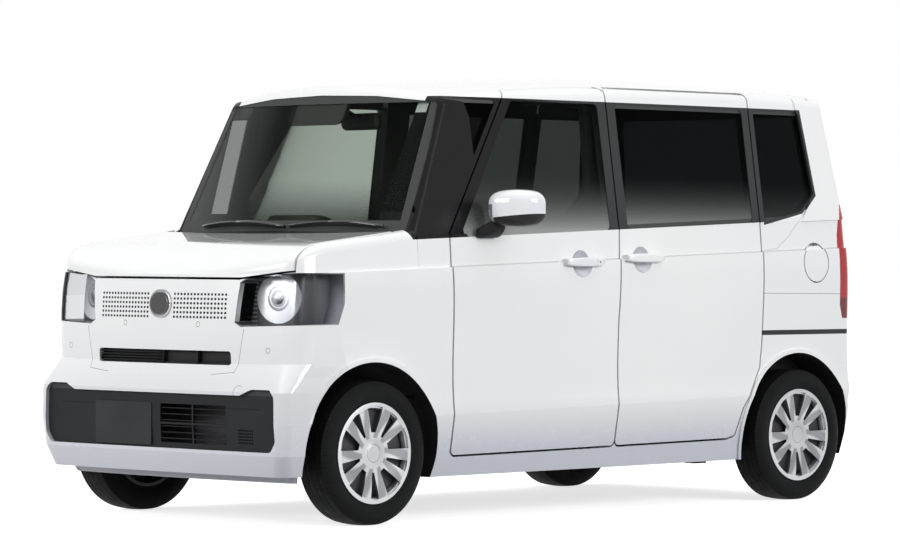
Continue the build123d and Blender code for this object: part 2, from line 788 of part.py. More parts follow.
with BuildPart() as grille_area:
    add(front_prism(intake_line, 0, intake_radius, -1800, -1560))
    add(front_prism(slot_line, 0, slot_radius, -1800, -1560))

with BuildPart() as lower_grille:
    loft([outline(row, grille_sink) for row in BUMPER], ruled=True)
    add(grille_back.part, mode=Mode.SUBTRACT, clean=False)
    add(grille_area.part, mode=Mode.INTERSECT, clean=False)
    with BuildSketch(Plane.XZ.offset(1750)):
        for x, z, columns, rows, pitch_x, pitch_z, wide, high in [*grille_cells, grille_dots]:
            with Locations((x, z)):
                with GridLocations(pitch_x, pitch_z, columns, rows):
                    Rectangle(wide, high)
    extrude(amount=-150, mode=Mode.SUBTRACT, clean=False)
    with BuildSketch(Plane.XZ.offset(1676)):
        with Locations((204, 386)):
            with GridLocations(1, slat_pitch, 1, slat_count):
                Rectangle(370, 3)
    extrude(amount=-18, clean=False)

plate_mount_y = -1682
plate_half = plate_size[0] / 2
front_plate = box_between(plate_x - plate_half, plate_x + plate_half, plate_mount_y - 2, plate_mount_y, plate_bottom_z,
                          plate_bottom_z + plate_size[1], 10, Axis.Y)

# ---------------------------------------------------------------- wheels, hubs and axles

hub_radius = 22
hub_clearance = 0.05
wheel_x = track / 2
tyre_outer_x = wheel_x + tyre_width / 2
kingpin_x = 602
kingpin_radius = 10


def wheel_plane(axle_y):
    """A plane through the wheel's axis: its x runs outward along the axis and its y runs up the radius."""
    return Plane(origin=(0, axle_y, axle_z), x_dir=(1, 0, 0), z_dir=(0, -1, 0))


def tyre(axle_y):
    half = tyre_width / 2
    tread = half - 14
    with BuildPart() as rubber:
        with BuildSketch(wheel_plane(axle_y)):
            with BuildLine():
                Polyline((wheel_x - 56, rim_radius), (wheel_x - 66, rim_radius + 6), (wheel_x - 68, rim_radius + 16))
                Spline(
                    (wheel_x - 68, rim_radius + 16), (wheel_x - half, rim_radius + 52),
                    (wheel_x - tread, tyre_radius - 4),
                )
                ThreePointArc(
                    (wheel_x - tread, tyre_radius - 4), (wheel_x, tyre_radius), (wheel_x + tread, tyre_radius - 4)
                )
                Spline(
                    (wheel_x + tread, tyre_radius - 4), (wheel_x + half, rim_radius + 52),
                    (wheel_x + 68, rim_radius + 16),
                )
                Polyline((wheel_x + 68, rim_radius + 16), (wheel_x + 66, rim_radius + 6), (wheel_x + 56, rim_radius))
                Polyline((wheel_x + 56, rim_radius), (wheel_x - 56, rim_radius))
            make_face()
        revolve(axis=Axis((0, axle_y, axle_z), (1, 0, 0)))
    return rubber.part


def wheel(axle_y):
    """The pressed rim with its hub disc and the cover that clips over it."""
    with BuildPart() as rim:
        with BuildSketch(wheel_plane(axle_y)):
            with BuildLine():
                Polyline(
                    (wheel_x - 66, rim_radius + 5), (wheel_x - 56, rim_radius), (wheel_x + 56, rim_radius),
                    (wheel_x + 66, rim_radius + 5), (wheel_x + 66, rim_radius - 4), (wheel_x + 56, rim_radius - 8),
                    (wheel_x + 40, rim_radius - 10), (wheel_x + 40, 60), (wheel_x + 46, 40), (wheel_x + 46, 0),
                    (wheel_x + 26, 0), (wheel_x + 26, 40), (wheel_x + 32, rim_radius - 10),
                    (wheel_x - 66, rim_radius - 8), close=True,
                )
            make_face()
        revolve(axis=Axis((0, axle_y, axle_z), (1, 0, 0)))
        add(rod((wheel_x, axle_y, axle_z), (wheel_x + hub_reach, axle_y, axle_z), hub_radius + hub_clearance),
            mode=Mode.SUBTRACT)
    with BuildPart() as cover:
        with BuildSketch(wheel_plane(axle_y)):
            with BuildLine():
                Polyline((wheel_x + 69, cover_radius), (wheel_x + 66.4, rim_radius + 5), (wheel_x + 66.4, rim_radius - 4))
                Line((wheel_x + 66.4, rim_radius - 4), (wheel_x + 62, 60))
                Polyline((wheel_x + 62, 60), (wheel_x + 62, 0), (wheel_x + 68, 0), (wheel_x + 68, 30))
                Spline((wheel_x + 68, 30), (wheel_x + 69, 110), (wheel_x + 75, 170), (wheel_x + 73, cover_radius))
                Line((wheel_x + 73, cover_radius), (wheel_x + 69, cover_radius))
            make_face()
        revolve(axis=Axis((0, axle_y, axle_z), (1, 0, 0)))
        with BuildSketch(Plane(origin=(wheel_x + 50, axle_y, axle_z), x_dir=(0, 1, 0), z_dir=(1, 0, 0))):
            with PolarLocations(0, arm_pairs, start_angle=90):
                Polygon((window_in, 12), (window_out, 42), (window_out + 7, 0), (window_out, -42), (window_in, -12),
                        align=None)
            with PolarLocations(0, arm_pairs, start_angle=90 + 180 / arm_pairs):
                Polygon((window_in - 6, 5), (window_out, 22), (window_out + 3, 0), (window_out, -22), (window_in - 6, -5),
                        align=None)
        extrude(amount=40, mode=Mode.SUBTRACT)
    return Compound(children=[rim.part, cover.part])


def knuckle():
    """The left front upright, its kingpin and its stub axle."""
    y = front_axle_y
    with BuildPart() as upright:
        add(box_between(kingpin_x - 22, kingpin_x + 14, y - 40, y + 40, 246, 372, 8, Axis.X))
        add(rod((kingpin_x, y, 202), (kingpin_x, y, 260), kingpin_radius))
        add(rod((kingpin_x, y, axle_z), (wheel_x + 24, y, axle_z), 40))
        add(rod((kingpin_x, y, axle_z), (wheel_x + 40, y, axle_z), hub_radius))
    return upright.part


knuckle_left = knuckle()

with BuildPart() as front_subframe:
    y = front_axle_y
    add(box_between(-360, 360, y - 80, y + 80, 206, 262, 12, Axis.X))
    add(box_between(340, kingpin_x + 22, y - 26, y + 26, 206, 236, 10, Axis.Z))
    add(rod((kingpin_x, y, 190), (kingpin_x, y, 250), kingpin_radius + hub_clearance), mode=Mode.SUBTRACT)
    add(box_between(300, 352, -1560, nose_end_y, 226, 290, 8, Axis.Y))
    add(box_between(300, 352, -1572, -1548, 226, 640, 8, Axis.Z))
    mirror(about=Plane.YZ)
    add(box_between(-352, 352, -1572, -1548, 600, 640, 8, Axis.X))

engine_block = box_between(-270, 270, -1500, -1040, 262.5, 790, 30)

with BuildPart() as rear_axle:
    y = rear_axle_y
    add(box_between(-470, 470, y - 190, y - 130, 250, 310, 14, Axis.X))
    add(box_between(430, 500, 969, y + 50, 252, 312, 14, Axis.Y))
    add(rod((480, y, axle_z), (wheel_x + 24, y, axle_z), 40))
    add(rod((480, y, axle_z), (wheel_x + 40, y, axle_z), hub_radius))
    mirror(about=Plane.YZ)

# ---------------------------------------------------------------- floor and liners

rear_floor_y = 955
jack_pad_x = 570
jack_pad_y = (-690, 820)
with BuildPart() as floor_area:
    add(slab_between(cab_front_y, rear_floor_y, z0=196, z1=222))
    add(slab_between(rear_floor_y, rear_floor_y + 14, z0=196, z1=462, x0=-560, x1=560))
    add(slab_between(rear_floor_y + 10, 1560, z0=440, z1=462, x0=-542, x1=542))
    add(slab_between(1556, 1800, z0=440, z1=462, x0=-542, x1=542))

with BuildPart() as floor_pan:
    add(cabin_form.part)
    add(floor_area.part, mode=Mode.INTERSECT)
    add(liner_space.part, mode=Mode.SUBTRACT)
    for side in (-1, 1):
        for pad_y in jack_pad_y:
            add(box_between(side * jack_pad_x - 30, side * jack_pad_x + 30, pad_y - 40, pad_y + 40, 168, 198, 8, Axis.Z))

with BuildPart() as void_form:
    add(deepcopy(nose_form.part))
    add(deepcopy(cabin_form.part))

with BuildPart() as arch_liners:
    add(liner_space.part)
    add(arch_space.part, mode=Mode.SUBTRACT)
    add(void_form.part, mode=Mode.INTERSECT)
    add(slab_between(-1800, 1800, z0=200), mode=Mode.INTERSECT)
    for side in (-1, 1):
        add(box_between(side * 400 - 20, side * 400 + 20, front_axle_y - 60, front_axle_y + 60, 190, 250),
            mode=Mode.SUBTRACT)
        add(rod((side * 520, rear_axle_y, axle_z), (side * 570, rear_axle_y, axle_z), 50),
            mode=Mode.SUBTRACT)

# ---------------------------------------------------------------- cabin fittings

with BuildPart() as dashboard:
    with BuildSketch(Plane.YZ):
        with BuildLine():
            FilletPolyline((cab_front_y, 700), (cab_front_y, 1085), (-760, 1085), (-560, 1010), (-530, 880), (-600, 700),
                           radius=30, close=True)
        make_face()
    extrude(amount=640, both=True)

wheel_tilt = 28
wheel_centre = (-335, -430, 985)
column_direction = Vector(0, -cos(radians(wheel_tilt)), -sin(radians(wheel_tilt)))
steering_plane = Plane(origin=wheel_centre, x_dir=(1, 0, 0), z_dir=column_direction * -1)
with BuildPart() as steering_wheel:
    with BuildSketch(Plane(origin=wheel_centre, x_dir=(1, 0, 0), z_dir=steering_plane.y_dir)) as rim_section:
        with Locations((170, 0)):
            Circle(14)
    revolve(axis=Axis(wheel_centre, steering_plane.z_dir))
    with BuildSketch(steering_plane.offset(-22)):
        Rectangle(336, 36)
        with Locations((0, -84)):
            Rectangle(36, 168)
        Circle(62)
    extrude(amount=28)
    with BuildSketch(steering_plane.offset(-23)):
        Circle(14 + hub_clearance)
    extrude(amount=18, mode=Mode.SUBTRACT)

with BuildPart() as steering_column:
    with BuildSketch(steering_plane.offset(-8)):
        Circle(14)
    extrude(amount=-180)
    with BuildSketch(steering_plane.offset(-34)):
        Circle(34)
    extrude(amount=-150)
    add(dashboard.part, mode=Mode.SUBTRACT)


def seat(x0, x1, y0, y1, z0, back_top, floor_z):
    """A cushion, a raked backrest and the frame below them."""
    clear = seat_clearance
    with BuildPart() as cushion:
        add(box_between(x0, x1, y0, y1, z0, z0 + 150, 28))
    with BuildPart() as back:
        with BuildSketch(Plane.YZ.offset(x0 + 10)):
            with BuildLine():
                FilletPolyline((y1 - 110, z0 + 150 + clear), (y1 + 40, z0 + 150 + clear),
                               (y1 + 190, back_top), (y1 + 100, back_top), radius=30, close=True)
            make_face()
        extrude(amount=x1 - x0 - 20)
    with BuildPart() as rest:
        add(box_between((x0 + x1) / 2 - 120, (x0 + x1) / 2 + 120, y1 + 105, y1 + 195, back_top + clear, back_top + 180,
                        38))
    with BuildPart() as base:
        add(box_between(x0 + 40, x1 - 40, y0 + 60, y1, floor_z, z0 - clear, 12, Axis.Z))
    return cushion.part, back.part, rest.part, base.part


front_seat_parts = [seat(60, 580, -300, 200, 430, 1010, 222), seat(-580, -60, -300, 200, 430, 1010, 222)]
rear_seat_parts = [seat(30, 530, 560, 940, 470, 1010, 222), seat(-530, -30, 560, 940, 470, 1010, 222)]

fuel_tank = box_between(-250, 250, 260, 700, 150, 195.7, 14)

# ---------------------------------------------------------------- mirrors, handles and wipers

mirror_y = -537
mirror_in_x = 752
mirror_out_x = 948
with BuildPart() as mirror_left:
    add(box_between(mirror_in_x, mirror_out_x, mirror_y - 56, mirror_y + 52, 1150, 1298, 46))
    add(box_between(700, 778, mirror_y - 112, mirror_y + 6, 1106, 1140, 14))
    add(rod((742, mirror_y - 50, 1124), (800, mirror_y - 4, 1186), 20))
    add(deepcopy(front_door_left), mode=Mode.SUBTRACT)
    add(deepcopy(front_pane_left), mode=Mode.SUBTRACT)
door_mirror_left = mirror_left.solids().sort_by(SortBy.VOLUME)[-1]


def handle(place, door):
    """A bar grip across its scoop, with a foot at each end on the door's skin."""
    y, z = place
    bar_x = handle_x + 16
    foot_y = handle_half - 16
    with BuildPart() as grip:
        add(box_between(bar_x, bar_x + 15, y - handle_half, y + handle_half, z - handle_bar, z + handle_bar, 7))
        for side in (-1, 1):
            foot = y + side * foot_y
            add(box_between(handle_x - 40, bar_x + 8, foot - 14, foot + 14, z - 10, z + 10, 4, Axis.X))
        add(deepcopy(door), mode=Mode.SUBTRACT)
    return grip.solids().sort_by(SortBy.VOLUME)[-1]


front_door_handle_left = handle(front_handle, front_door_left)
sliding_door_handle_left = handle(slide_handle, sliding_door_left)

# ---------------------------------------------------------------- the files

front_wheel_left = wheel(front_axle_y)
rear_wheel_left = wheel(rear_axle_y)
front_tyre_left = tyre(front_axle_y)
rear_tyre_left = tyre(rear_axle_y)

pieces = {
    "roof_panel": [roof_panel.part],
    "side_frame_left": [side_left_open.part],
    "side_frame_right": [side_right],
    "bulkhead": [bulkhead_plate],
    "cowl": cowl_solids,
    "floor_pan": floor_pan.solids(),
    "arch_liners": arch_liners.solids(),
    "front_fenders": front_fenders.solids(),
    "front_bumper": [front_bumper.part],
    "lower_grille": lower_grille.solids(),
    "nose_panel": [nose_panel.part],
    "headlights": [lamp_left, mirrored(lamp_left)],
    "headlight_lenses": [lens_left, mirrored(lens_left)],
    "front_plate": [front_plate],
    "windscreen": [windscreen.part],
    "fixed_glass": [quarter_pane_left, mirrored(quarter_pane_left), vent_pane_left, mirrored(vent_pane_left)],
    "bonnet": [bonnet.part],
    "front_door_left": [front_door_left],
    "front_door_right": [mirrored(front_door_left)],
    "front_door_glass_left": [front_pane_left],
    "front_door_glass_right": [mirrored(front_pane_left)],
    "door_mirror_left": [door_mirror_left],
    "door_mirror_right": [mirrored(door_mirror_left)],
    "front_door_handle_left": [front_door_handle_left],
    "front_door_handle_right": [mirrored(front_door_handle_left)],
    "sliding_doors": [sliding_door_left, mirrored(sliding_door_left)],
    "sliding_door_glass": [sliding_pane_left, mirrored(sliding_pane_left)],
    "sliding_door_handles": [sliding_door_handle_left, mirrored(sliding_door_handle_left)],
    "tailgate": [tailgate.part],
    "tailgate_glass": [tailgate_glass.part],
    "rear_bumper": rear_bumper.solids(),
    "tail_lights": tail_lights.solids(),
    "fuel_lid": [fuel_lid.part],
    "front_tyre_left": [front_tyre_left],
    "front_tyre_right": [mirrored(front_tyre_left)],
    "rear_tyre_left": [rear_tyre_left],
    "rear_tyre_right": [mirrored(rear_tyre_left)],
    "front_wheel_left": front_wheel_left.solids(),
    "front_wheel_right": [mirrored(solid) for solid in front_wheel_left.solids()],
    "rear_wheel_left": rear_wheel_left.solids(),
    "rear_wheel_right": [mirrored(solid) for solid in rear_wheel_left.solids()],
    "knuckle_left": [knuckle_left],
    "knuckle_right": [mirrored(knuckle_left)],
    "front_subframe": [front_subframe.part],
    "engine_block": [engine_block],
    "rear_axle": [rear_axle.part],
    "fuel_tank": [fuel_tank],
    "dashboard": [dashboard.part],
    "steering_wheel": [steering_wheel.part],
    "steering_column": [steering_column.part],
    "front_seats": [piece for one in front_seat_parts for piece in one[:3]],
    "rear_seats": [piece for one in rear_seat_parts for piece in one[:3]],
    "seat_bases": [one[3] for one in front_seat_parts + rear_seat_parts],
}

for name, solids in pieces.items():
    whole = solids[0] if len(solids) == 1 else Compound(children=[Solid(solid.wrapped) for solid in solids])
    whole.label = name
    export_step(whole, f"parts/{name}.step")
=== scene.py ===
"""Tall white kei car: finishes, stuffed seats, small fittings, a plain studio and the camera."""

import math

import bmesh
import bpy
from mathutils import Matrix, Vector
from mathutils.bvhtree import BVHTree


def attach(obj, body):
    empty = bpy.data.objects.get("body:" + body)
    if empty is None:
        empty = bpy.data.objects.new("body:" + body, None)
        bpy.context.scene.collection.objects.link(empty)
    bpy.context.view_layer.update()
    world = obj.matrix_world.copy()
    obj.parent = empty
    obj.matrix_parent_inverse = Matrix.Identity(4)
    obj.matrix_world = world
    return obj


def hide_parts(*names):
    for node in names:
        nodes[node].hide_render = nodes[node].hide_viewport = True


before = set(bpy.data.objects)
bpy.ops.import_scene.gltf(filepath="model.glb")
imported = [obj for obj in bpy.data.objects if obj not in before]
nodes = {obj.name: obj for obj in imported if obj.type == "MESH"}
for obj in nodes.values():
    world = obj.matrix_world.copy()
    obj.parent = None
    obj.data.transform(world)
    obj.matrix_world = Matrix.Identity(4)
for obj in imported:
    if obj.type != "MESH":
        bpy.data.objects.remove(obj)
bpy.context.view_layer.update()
scene = bpy.context.scene


# ---------------------------------------------------------------- shader graphs


class Value:
    """A number inside a material's graph, so shader maths reads as plain arithmetic."""

    def __init__(self, graph, socket):
        self.graph, self.socket = graph, socket

    def maths(self, operation, *others):
        return self.graph.maths(operation, self, *others)

    def __add__(self, other):
        return self.maths("ADD", other)

    def __sub__(self, other):
        return self.maths("SUBTRACT", other)

    def __mul__(self, other):
        return self.maths("MULTIPLY", other)

    def __truediv__(self, other):
        return self.maths("DIVIDE", other)

    def __pow__(self, other):
        return self.maths("POWER", other)

    def __gt__(self, other):
        return self.maths("GREATER_THAN", other)

    def __lt__(self, other):
        return self.maths("LESS_THAN", other)

    def __or__(self, other):
        return self.maths("MAXIMUM", other)

    def __abs__(self):
        return self.maths("ABSOLUTE")

    def __rsub__(self, other):
        return self.graph.maths("SUBTRACT", other, self)

    __radd__ = __add__


def plain(value):
    return value.socket if isinstance(value, Value) else value


class Graph:
    """The node graph of one material, or of one world."""

    def __init__(self, name, kind="materials"):
        self.owner = getattr(bpy.data, kind).new(name)
        self.owner.use_nodes = True
        self.tree = self.owner.node_tree
        self.tree.nodes.clear()

    def node(self, kind, settings=None, sockets=None):
        """A node of any kind: its settings are set first, then the values or links of its sockets."""
        made = self.tree.nodes.new(kind)
        for key, value in (settings or {}).items():
            setattr(made, key, value)
        for key, value in (sockets or {}).items():
            value = plain(value)
            if isinstance(value, bpy.types.NodeSocket):
                self.tree.links.new(value, made.inputs[key])
            else:
                made.inputs[key].default_value = value
        return made

    def maths(self, operation, *values):
        made = self.node("ShaderNodeMath", {"operation": operation}, dict(enumerate(values)))
        return Value(self, made.outputs[0])

    def split(self, socket):
        made = self.node("ShaderNodeSeparateXYZ", None, {0: socket})
        return [Value(self, output) for output in made.outputs]

    def coords(self):
        return self.node("ShaderNodeTexCoord").outputs["Object"]

    def place(self):
        """The x, y and z of the surface point in the car's frame at rest, in metres."""
        return self.split(self.coords())

    def facing(self):
        """The x, y and z of the surface's own normal, which turns with its piece."""
        return self.split(self.node("ShaderNodeTexCoord").outputs["Normal"])

    def noise(self, scale, detail=3.0):
        sockets = {"Vector": self.coords(), "Scale": scale, "Detail": detail}
        return Value(self, self.node("ShaderNodeTexNoise", None, sockets).outputs["Fac"])

    def between(self, value, low, high):
        """1 where the value lies between low and high, else 0."""
        return (value > low) * (value < high)

    def span(self, value, low, high, to_low=0.0, to_high=1.0):
        """A value held to the span from low to high, and stretched to run from to_low to to_high."""
        made = self.node("ShaderNodeMapRange", None, {0: value, 1: low, 2: high, 3: to_low, 4: to_high})
        return Value(self, made.outputs[0])

    def vary(self, tone, to_low=0.0, to_high=1.0):
        """A noise, which keeps mostly between 0.3 and 0.7, stretched in the same way."""
        return self.span(tone, 0.3, 0.7, to_low, to_high)

    def near(self, value, middle, width):
        """1 at the middle, fading to 0 at that distance from it."""
        return self.span(abs(value - middle), 0.0, width, 1.0, 0.0)

    def radius(self, *offsets):
        """The distance that those offsets along right-angled axes make."""
        return sum(offset * offset for offset in offsets).maths("SQRT")

    def line(self, u, v, start, end, width):
        """1 within that width of the straight line between two points of the u, v plane."""
        (u0, v0), (u1, v1) = start, end
        du, dv = u1 - u0, v1 - v0
        length = math.hypot(du, dv)
        along = ((u - u0) * du + (v - v0) * dv) / length
        aside = abs((u - u0) * dv - (v - v0) * du) / length
        return (aside < width) * self.between(along, 0.0, length)

    def mix(self, factor, first, second):
        """A colour that goes from first to second as the factor goes from 0 to 1."""
        made = self.node("ShaderNodeMix", {"data_type": "RGBA"}, {0: factor, 6: first, 7: second})
        return made.outputs[2]

    def bump(self, height, strength, distance):
        sockets = {"Height": height, "Strength": strength, "Distance": distance}
        return self.node("ShaderNodeBump", None, sockets).outputs[0]

    def turned_away(self, kind, blend):
        """How far the surface turns away from the eye; kind is Fresnel or Facing."""
        made = self.node("ShaderNodeLayerWeight", None, {"Blend": blend})
        return Value(self, made.outputs[kind])

    def shader(self, kind, **inputs):
        """A shader of that kind; keyword names are its socket names with _ for a space."""
        named = {key.replace("_", " "): value for key, value in inputs.items()}
        return self.node("ShaderNode" + kind, None, named).outputs[0]

    def surface(self, **inputs):
        return self.shader("BsdfPrincipled", **inputs)

    def clear(self, colour):
        """Lets light through, tinted."""
        return self.shader("BsdfTransparent", Color=colour)

    def blend(self, factor, first, second):
        return self.node("ShaderNodeMixShader", None, {0: factor, 1: first, 2: second}).outputs[0]

    def finish(self, shader, output="ShaderNodeOutputMaterial"):
        self.node(output, None, {"Surface": shader})
        return self.owner


def rgb(*values):
    return (*values, 1.0)


def dimmed(colour, factor, lift=0.0):
    return rgb(*(value * factor + lift for value in colour[:3]))


# ---------------------------------------------------------------- the car's main lines, in metres

WHEEL_Z = 0.2785
FRONT_WHEEL_Y = -1.2115
REAR_WHEEL_Y = 1.3085
ARCH_RADIUS = 0.3485
TYRE_MIDDLE_X = 0.6525
ROOF_BAND_Z = 1.664
GLASS_TOP_Z = 1.640
LAMP_CENTRE = (0.559, -1.580, 0.872)
LAMP_TURN = math.radians(30)

# Places in the side view, as y and z.
WHEELS = (FRONT_WHEEL_Y, WHEEL_Z), (REAR_WHEEL_Y, WHEEL_Z)
FRONT_GRIP = (-0.054, 1.012)
SLIDE_GRIP = (0.308, 1.029)

# Each seat row's sewn channels: the middle of a seat from the car's middle, and the channel from that.
FRONT_SEAT_SEAMS = (0.32, 0.165)
REAR_SEAT_SEAMS = (0.28, 0.160)


def belt(y):
    """Height of the line where the side glass begins."""
    return y * 0.040 + 1.137


def nearer(g, y, z, places):
    """How far a point of the side view is from the nearer of two places."""
    return g.maths("MINIMUM", *(g.radius(y - place_y, z - place_z) for place_y, place_z in places))


def wheel_polar(g, y, z):
    """How far a point is from its own wheel's axis, and the angle round that axis."""
    front = y < 0.0
    along = y - (front * FRONT_WHEEL_Y + (1.0 - front) * REAR_WHEEL_Y)
    up = z - WHEEL_Z
    return g.radius(along, up), g.maths("ARCTAN2", up, along)


def seam_distance(x, seams):
    """How far a point is, across the car, from the nearest sewn channel of a seat row."""
    middle, half = seams
    return abs(abs(abs(x) - middle) - half)


# ---------------------------------------------------------------- masks of the painted panels


def sash_black(g, x, y, z):
    """The pillars and sashes between belt and roof band on a door."""
    return (z > belt(y)) * (z < ROOF_BAND_Z)


def pillar_black(g, x, y, z):
    """The pillars ahead of the rear quarter, between belt and roof band, and the sliding door's rail slot."""
    front = (y < 1.10) * (z > belt(y))
    quarter = (y > 1.099) * (y < 1.416 + (1.654 - z) * 0.120) * (z > 1.170 + (y - 1.104) * 0.192)
    quarter = quarter * (z > 1.212 + (y - 1.354) * 0.811)
    pillars = g.maths("MINIMUM", front + quarter, 1.0) * (z < ROOF_BAND_Z)
    slot = g.between(z, 0.7049, 0.7251) * g.between(y, 1.06, 1.667) * (abs(x) > 0.70)
    return pillars | slot


def mirror_black(g, x, y, z):
    """The lower half of the mirror's pod and its inner end."""
    out = abs(x)
    return (z < 1.182 + (out - 0.755) * 0.10) | (out < 0.765)


def gate_black(g, x, y, z):
    """The band round the rear window."""
    return g.between(z, 1.168, ROOF_BAND_Z) * (abs(x) < 0.612) * (y > 1.5)


def vent_holes(g, x, y, z):
    """The dark mouths of the nose panel's two blocks of square holes."""
    half_u, half_v = 0.0052, 0.0044
    pitch_u, pitch_v = 0.0186, 0.0176
    columns, rows = 16, 6
    u = (abs(x) - 0.217) / pitch_u + columns / 2
    v = (z - 0.840) / pitch_v + rows / 2
    inside = g.between(u, 0.0, columns) * g.between(v, 0.0, rows)
    across = abs(u.maths("FRACT") - 0.5) < half_u / pitch_u
    above = abs(v.maths("FRACT") - 0.5) < half_v / pitch_v
    return inside * across * above * (y < -1.60)


def scoop_shade(g, x, y, z):
    """The hollows behind the door handles, which lie in their own shade."""
    _, ny, nz = g.facing()
    hollow = nearer(g, y, z, (FRONT_GRIP, SLIDE_GRIP)) < 0.075
    return hollow * (g.radius(ny, nz) > 0.13) * (abs(x) > 0.69)


def nose_lines(g, x, y, z):
    """Fine joint lines, parking sensors and the towing eye's cover on the nose."""
    out = abs(x)
    marks = g.line(out, z, (0.420, 0.589), (0.454, 0.754), 0.0012)
    marks = marks | g.line(out, z, (0.300, 0.578), (0.420, 0.589), 0.0010)
    for cx, cz in ((0.212, 0.769), (0.575, 0.674)):
        marks = marks | (abs(g.radius(out - cx, z - cz) - 0.0100) < 0.0011)
    cover = (abs(g.radius(x - 0.470, z - 0.516) - 0.024) < 0.0009) * (x < 0.486)
    return (marks | cover) * (y < -1.40)


def waist_line(g, x, y, z):
    """The shade above the crease at the height of the door handles."""
    crease = abs(z - y * 0.0345 - 1.0200) < 0.0026
    clear = nearer(g, y, z, (FRONT_GRIP, SLIDE_GRIP)) > 0.125
    return crease * clear * (abs(x) > 0.66) * 0.45


def quarter_lines(g, x, y, z):
    """The fine joint, the painted shade along the upswept crease behind the sliding door, and the waist's
    crease shade.
    """
    joint = g.line(y, z, (1.065, 0.882), (1.655, 0.876), 0.0012) * (abs(x) > 0.70)
    # Painted shade: a soft grey line along the upswept crease.
    sweep = 0.0
    corners = ((1.069, 1.059), (1.180, 1.070), (1.258, 1.121), (1.358, 1.208), (1.401, 1.252))
    for start, end in zip(corners, corners[1:]):
        sweep = g.line(y, z, start, end, 0.0030) | sweep
    return joint | sweep * 0.30 | waist_line(g, x, y, z)


# ---------------------------------------------------------------- materials

PEARL = rgb(0.84, 0.84, 0.832)
PEARL_SHADE = rgb(0.70, 0.72, 0.775)
# Painted shade: the colour the paint darkens to at the bottom of the panels.
PEARL_PAINTED_SHADE = rgb(0.50, 0.52, 0.58)
PEARL_FLAKE = rgb(0.93, 0.94, 0.98)
COAT_ROUGHNESS = 0.035
BLACK = rgb(0.010, 0.010, 0.011)
# Painted sheen: a lighter black for the trim towards the rear.
SASH_PAINTED_SHEEN = rgb(0.040, 0.042, 0.044)
# Grey of the real joint lines, also used as painted shade along the creases.
JOINT_AND_CREASE_SHADE_GREY = rgb(0.20, 0.20, 0.21)
TRIM = rgb(0.060, 0.058, 0.055)
HEADLINER = rgb(0.30, 0.295, 0.28)
PRIVACY_TINT = rgb(0.27, 0.28, 0.285)
CLOTH = rgb(0.46, 0.45, 0.43)
CLOTH_SHADE = rgb(0.38, 0.37, 0.36)


def pearl_paint(name, black=None, lines=None, inside="side", shaded=None, foot=(0.27, 0.47)):
    """White pearl lacquer with gloss black trim, fine lines, dark wheel arches and a trimmed inner face, with
    painted shade along creases, in the handle hollows and towards the bottom.

    The masks are black, lines and shaded; foot is the span of height over which the paint darkens downwards
    as painted shade.
    """
    g = Graph(name)
    x, y, z = g.place()
    cloud = g.vary(g.noise(1.1, 2.0), -0.08, 0.08)
    colour = g.mix(g.turned_away("Facing", 0.5) * 0.10 + cloud + 0.08, PEARL, PEARL_SHADE)
    # Painted shade: the paint darkens towards the bottom over the foot span of height.
    colour = g.mix(g.span(z, *foot, 1.0, 0.0), colour, PEARL_PAINTED_SHADE)
    colour = g.mix(g.span(g.noise(1400.0, 1.0), 0.45, 0.75, 0.0, 0.14), colour, PEARL_FLAKE)
    rough = g.vary(g.noise(9.0), 0.20, 0.26) + g.span(z, 0.18, 0.40, 0.10, 0.0)
    coat = g.span(z, 0.18, 0.30, 0.85, 1.0)
    if lines:
        # Joints get this grey as real marks; along the creases it is painted shade.
        colour = g.mix(lines(g, x, y, z), colour, JOINT_AND_CREASE_SHADE_GREY)
    if shaded:
        colour = g.mix(shaded(g, x, y, z) * 0.7, colour, rgb(0.42, 0.44, 0.50))
    arch = nearer(g, y, z, WHEELS) < ARCH_RADIUS
    colour = g.mix(arch, colour, BLACK)
    uncoated = dull = arch
    if black:
        mask = black(g, x, y, z)
        # Painted sheen: the gloss black is darkest ahead and lighter towards the rear, as if it caught more
        # light there.
        colour = g.mix(mask, colour, g.mix(g.span(y, -0.30, 0.0), BLACK, SASH_PAINTED_SHEEN))
        uncoated = uncoated | mask
    if inside:
        nx, ny, nz = g.facing()
        turned = {"side": x * nx < -0.12, "roof": nz < -0.2, "gate": ny < -0.3}[inside]
        colour = g.mix(turned, colour, HEADLINER if inside == "roof" else TRIM)
        dull = dull | turned
        uncoated = uncoated | turned
    return g.finish(g.surface(
        Base_Color=colour, Roughness=rough + dull * 0.45, Metallic=0.06, IOR=1.5, Specular_IOR_Level=0.12,
        Coat_Weight=coat * (1.0 - uncoated), Coat_Roughness=COAT_ROUGHNESS,
        Normal=g.bump(g.noise(55.0, 1.0), 0.012, 0.0006),
    ))


def grained_plastic(name, colour, rough=0.55, scale=1500.0, groove=None, second=None, shine=0.28):
    """Moulded plastic with a fine leather grain; groove marks lines sunk in it and darkened as painted shade,
    second a greyer part.
    """
    g = Graph(name)
    x, y, z = g.place()
    tone = g.noise(6.0, 2.0)
    base = g.mix(g.vary(tone), colour, dimmed(colour, 1.25, 0.003))
    height = g.noise(scale, 2.0) * 0.35
    if second:
        base = g.mix(second(g, x, y, z), base, rgb(0.045, 0.047, 0.050))
    if groove:
        sunk_and_shaded = groove(g, x, y, z)
        height = height - sunk_and_shaded
        # Painted shade: the sunk lines are darker.
        base = g.mix(sunk_and_shaded, base, dimmed(colour, 0.35))
    return g.finish(g.surface(
        Base_Color=base, Roughness=g.vary(tone, rough - 0.06, rough + 0.06), Specular_IOR_Level=shine,
        Normal=g.bump(height, 0.5, 0.0006),
    ))


def grille_grooves(g, x, y, z):
    """The level groove in the lower grille's blank side parts."""
    wide = g.between(x, 0.383, 0.578) | g.between(x, -0.578, -0.361)
    return g.near(z, 0.452, 0.004) * wide


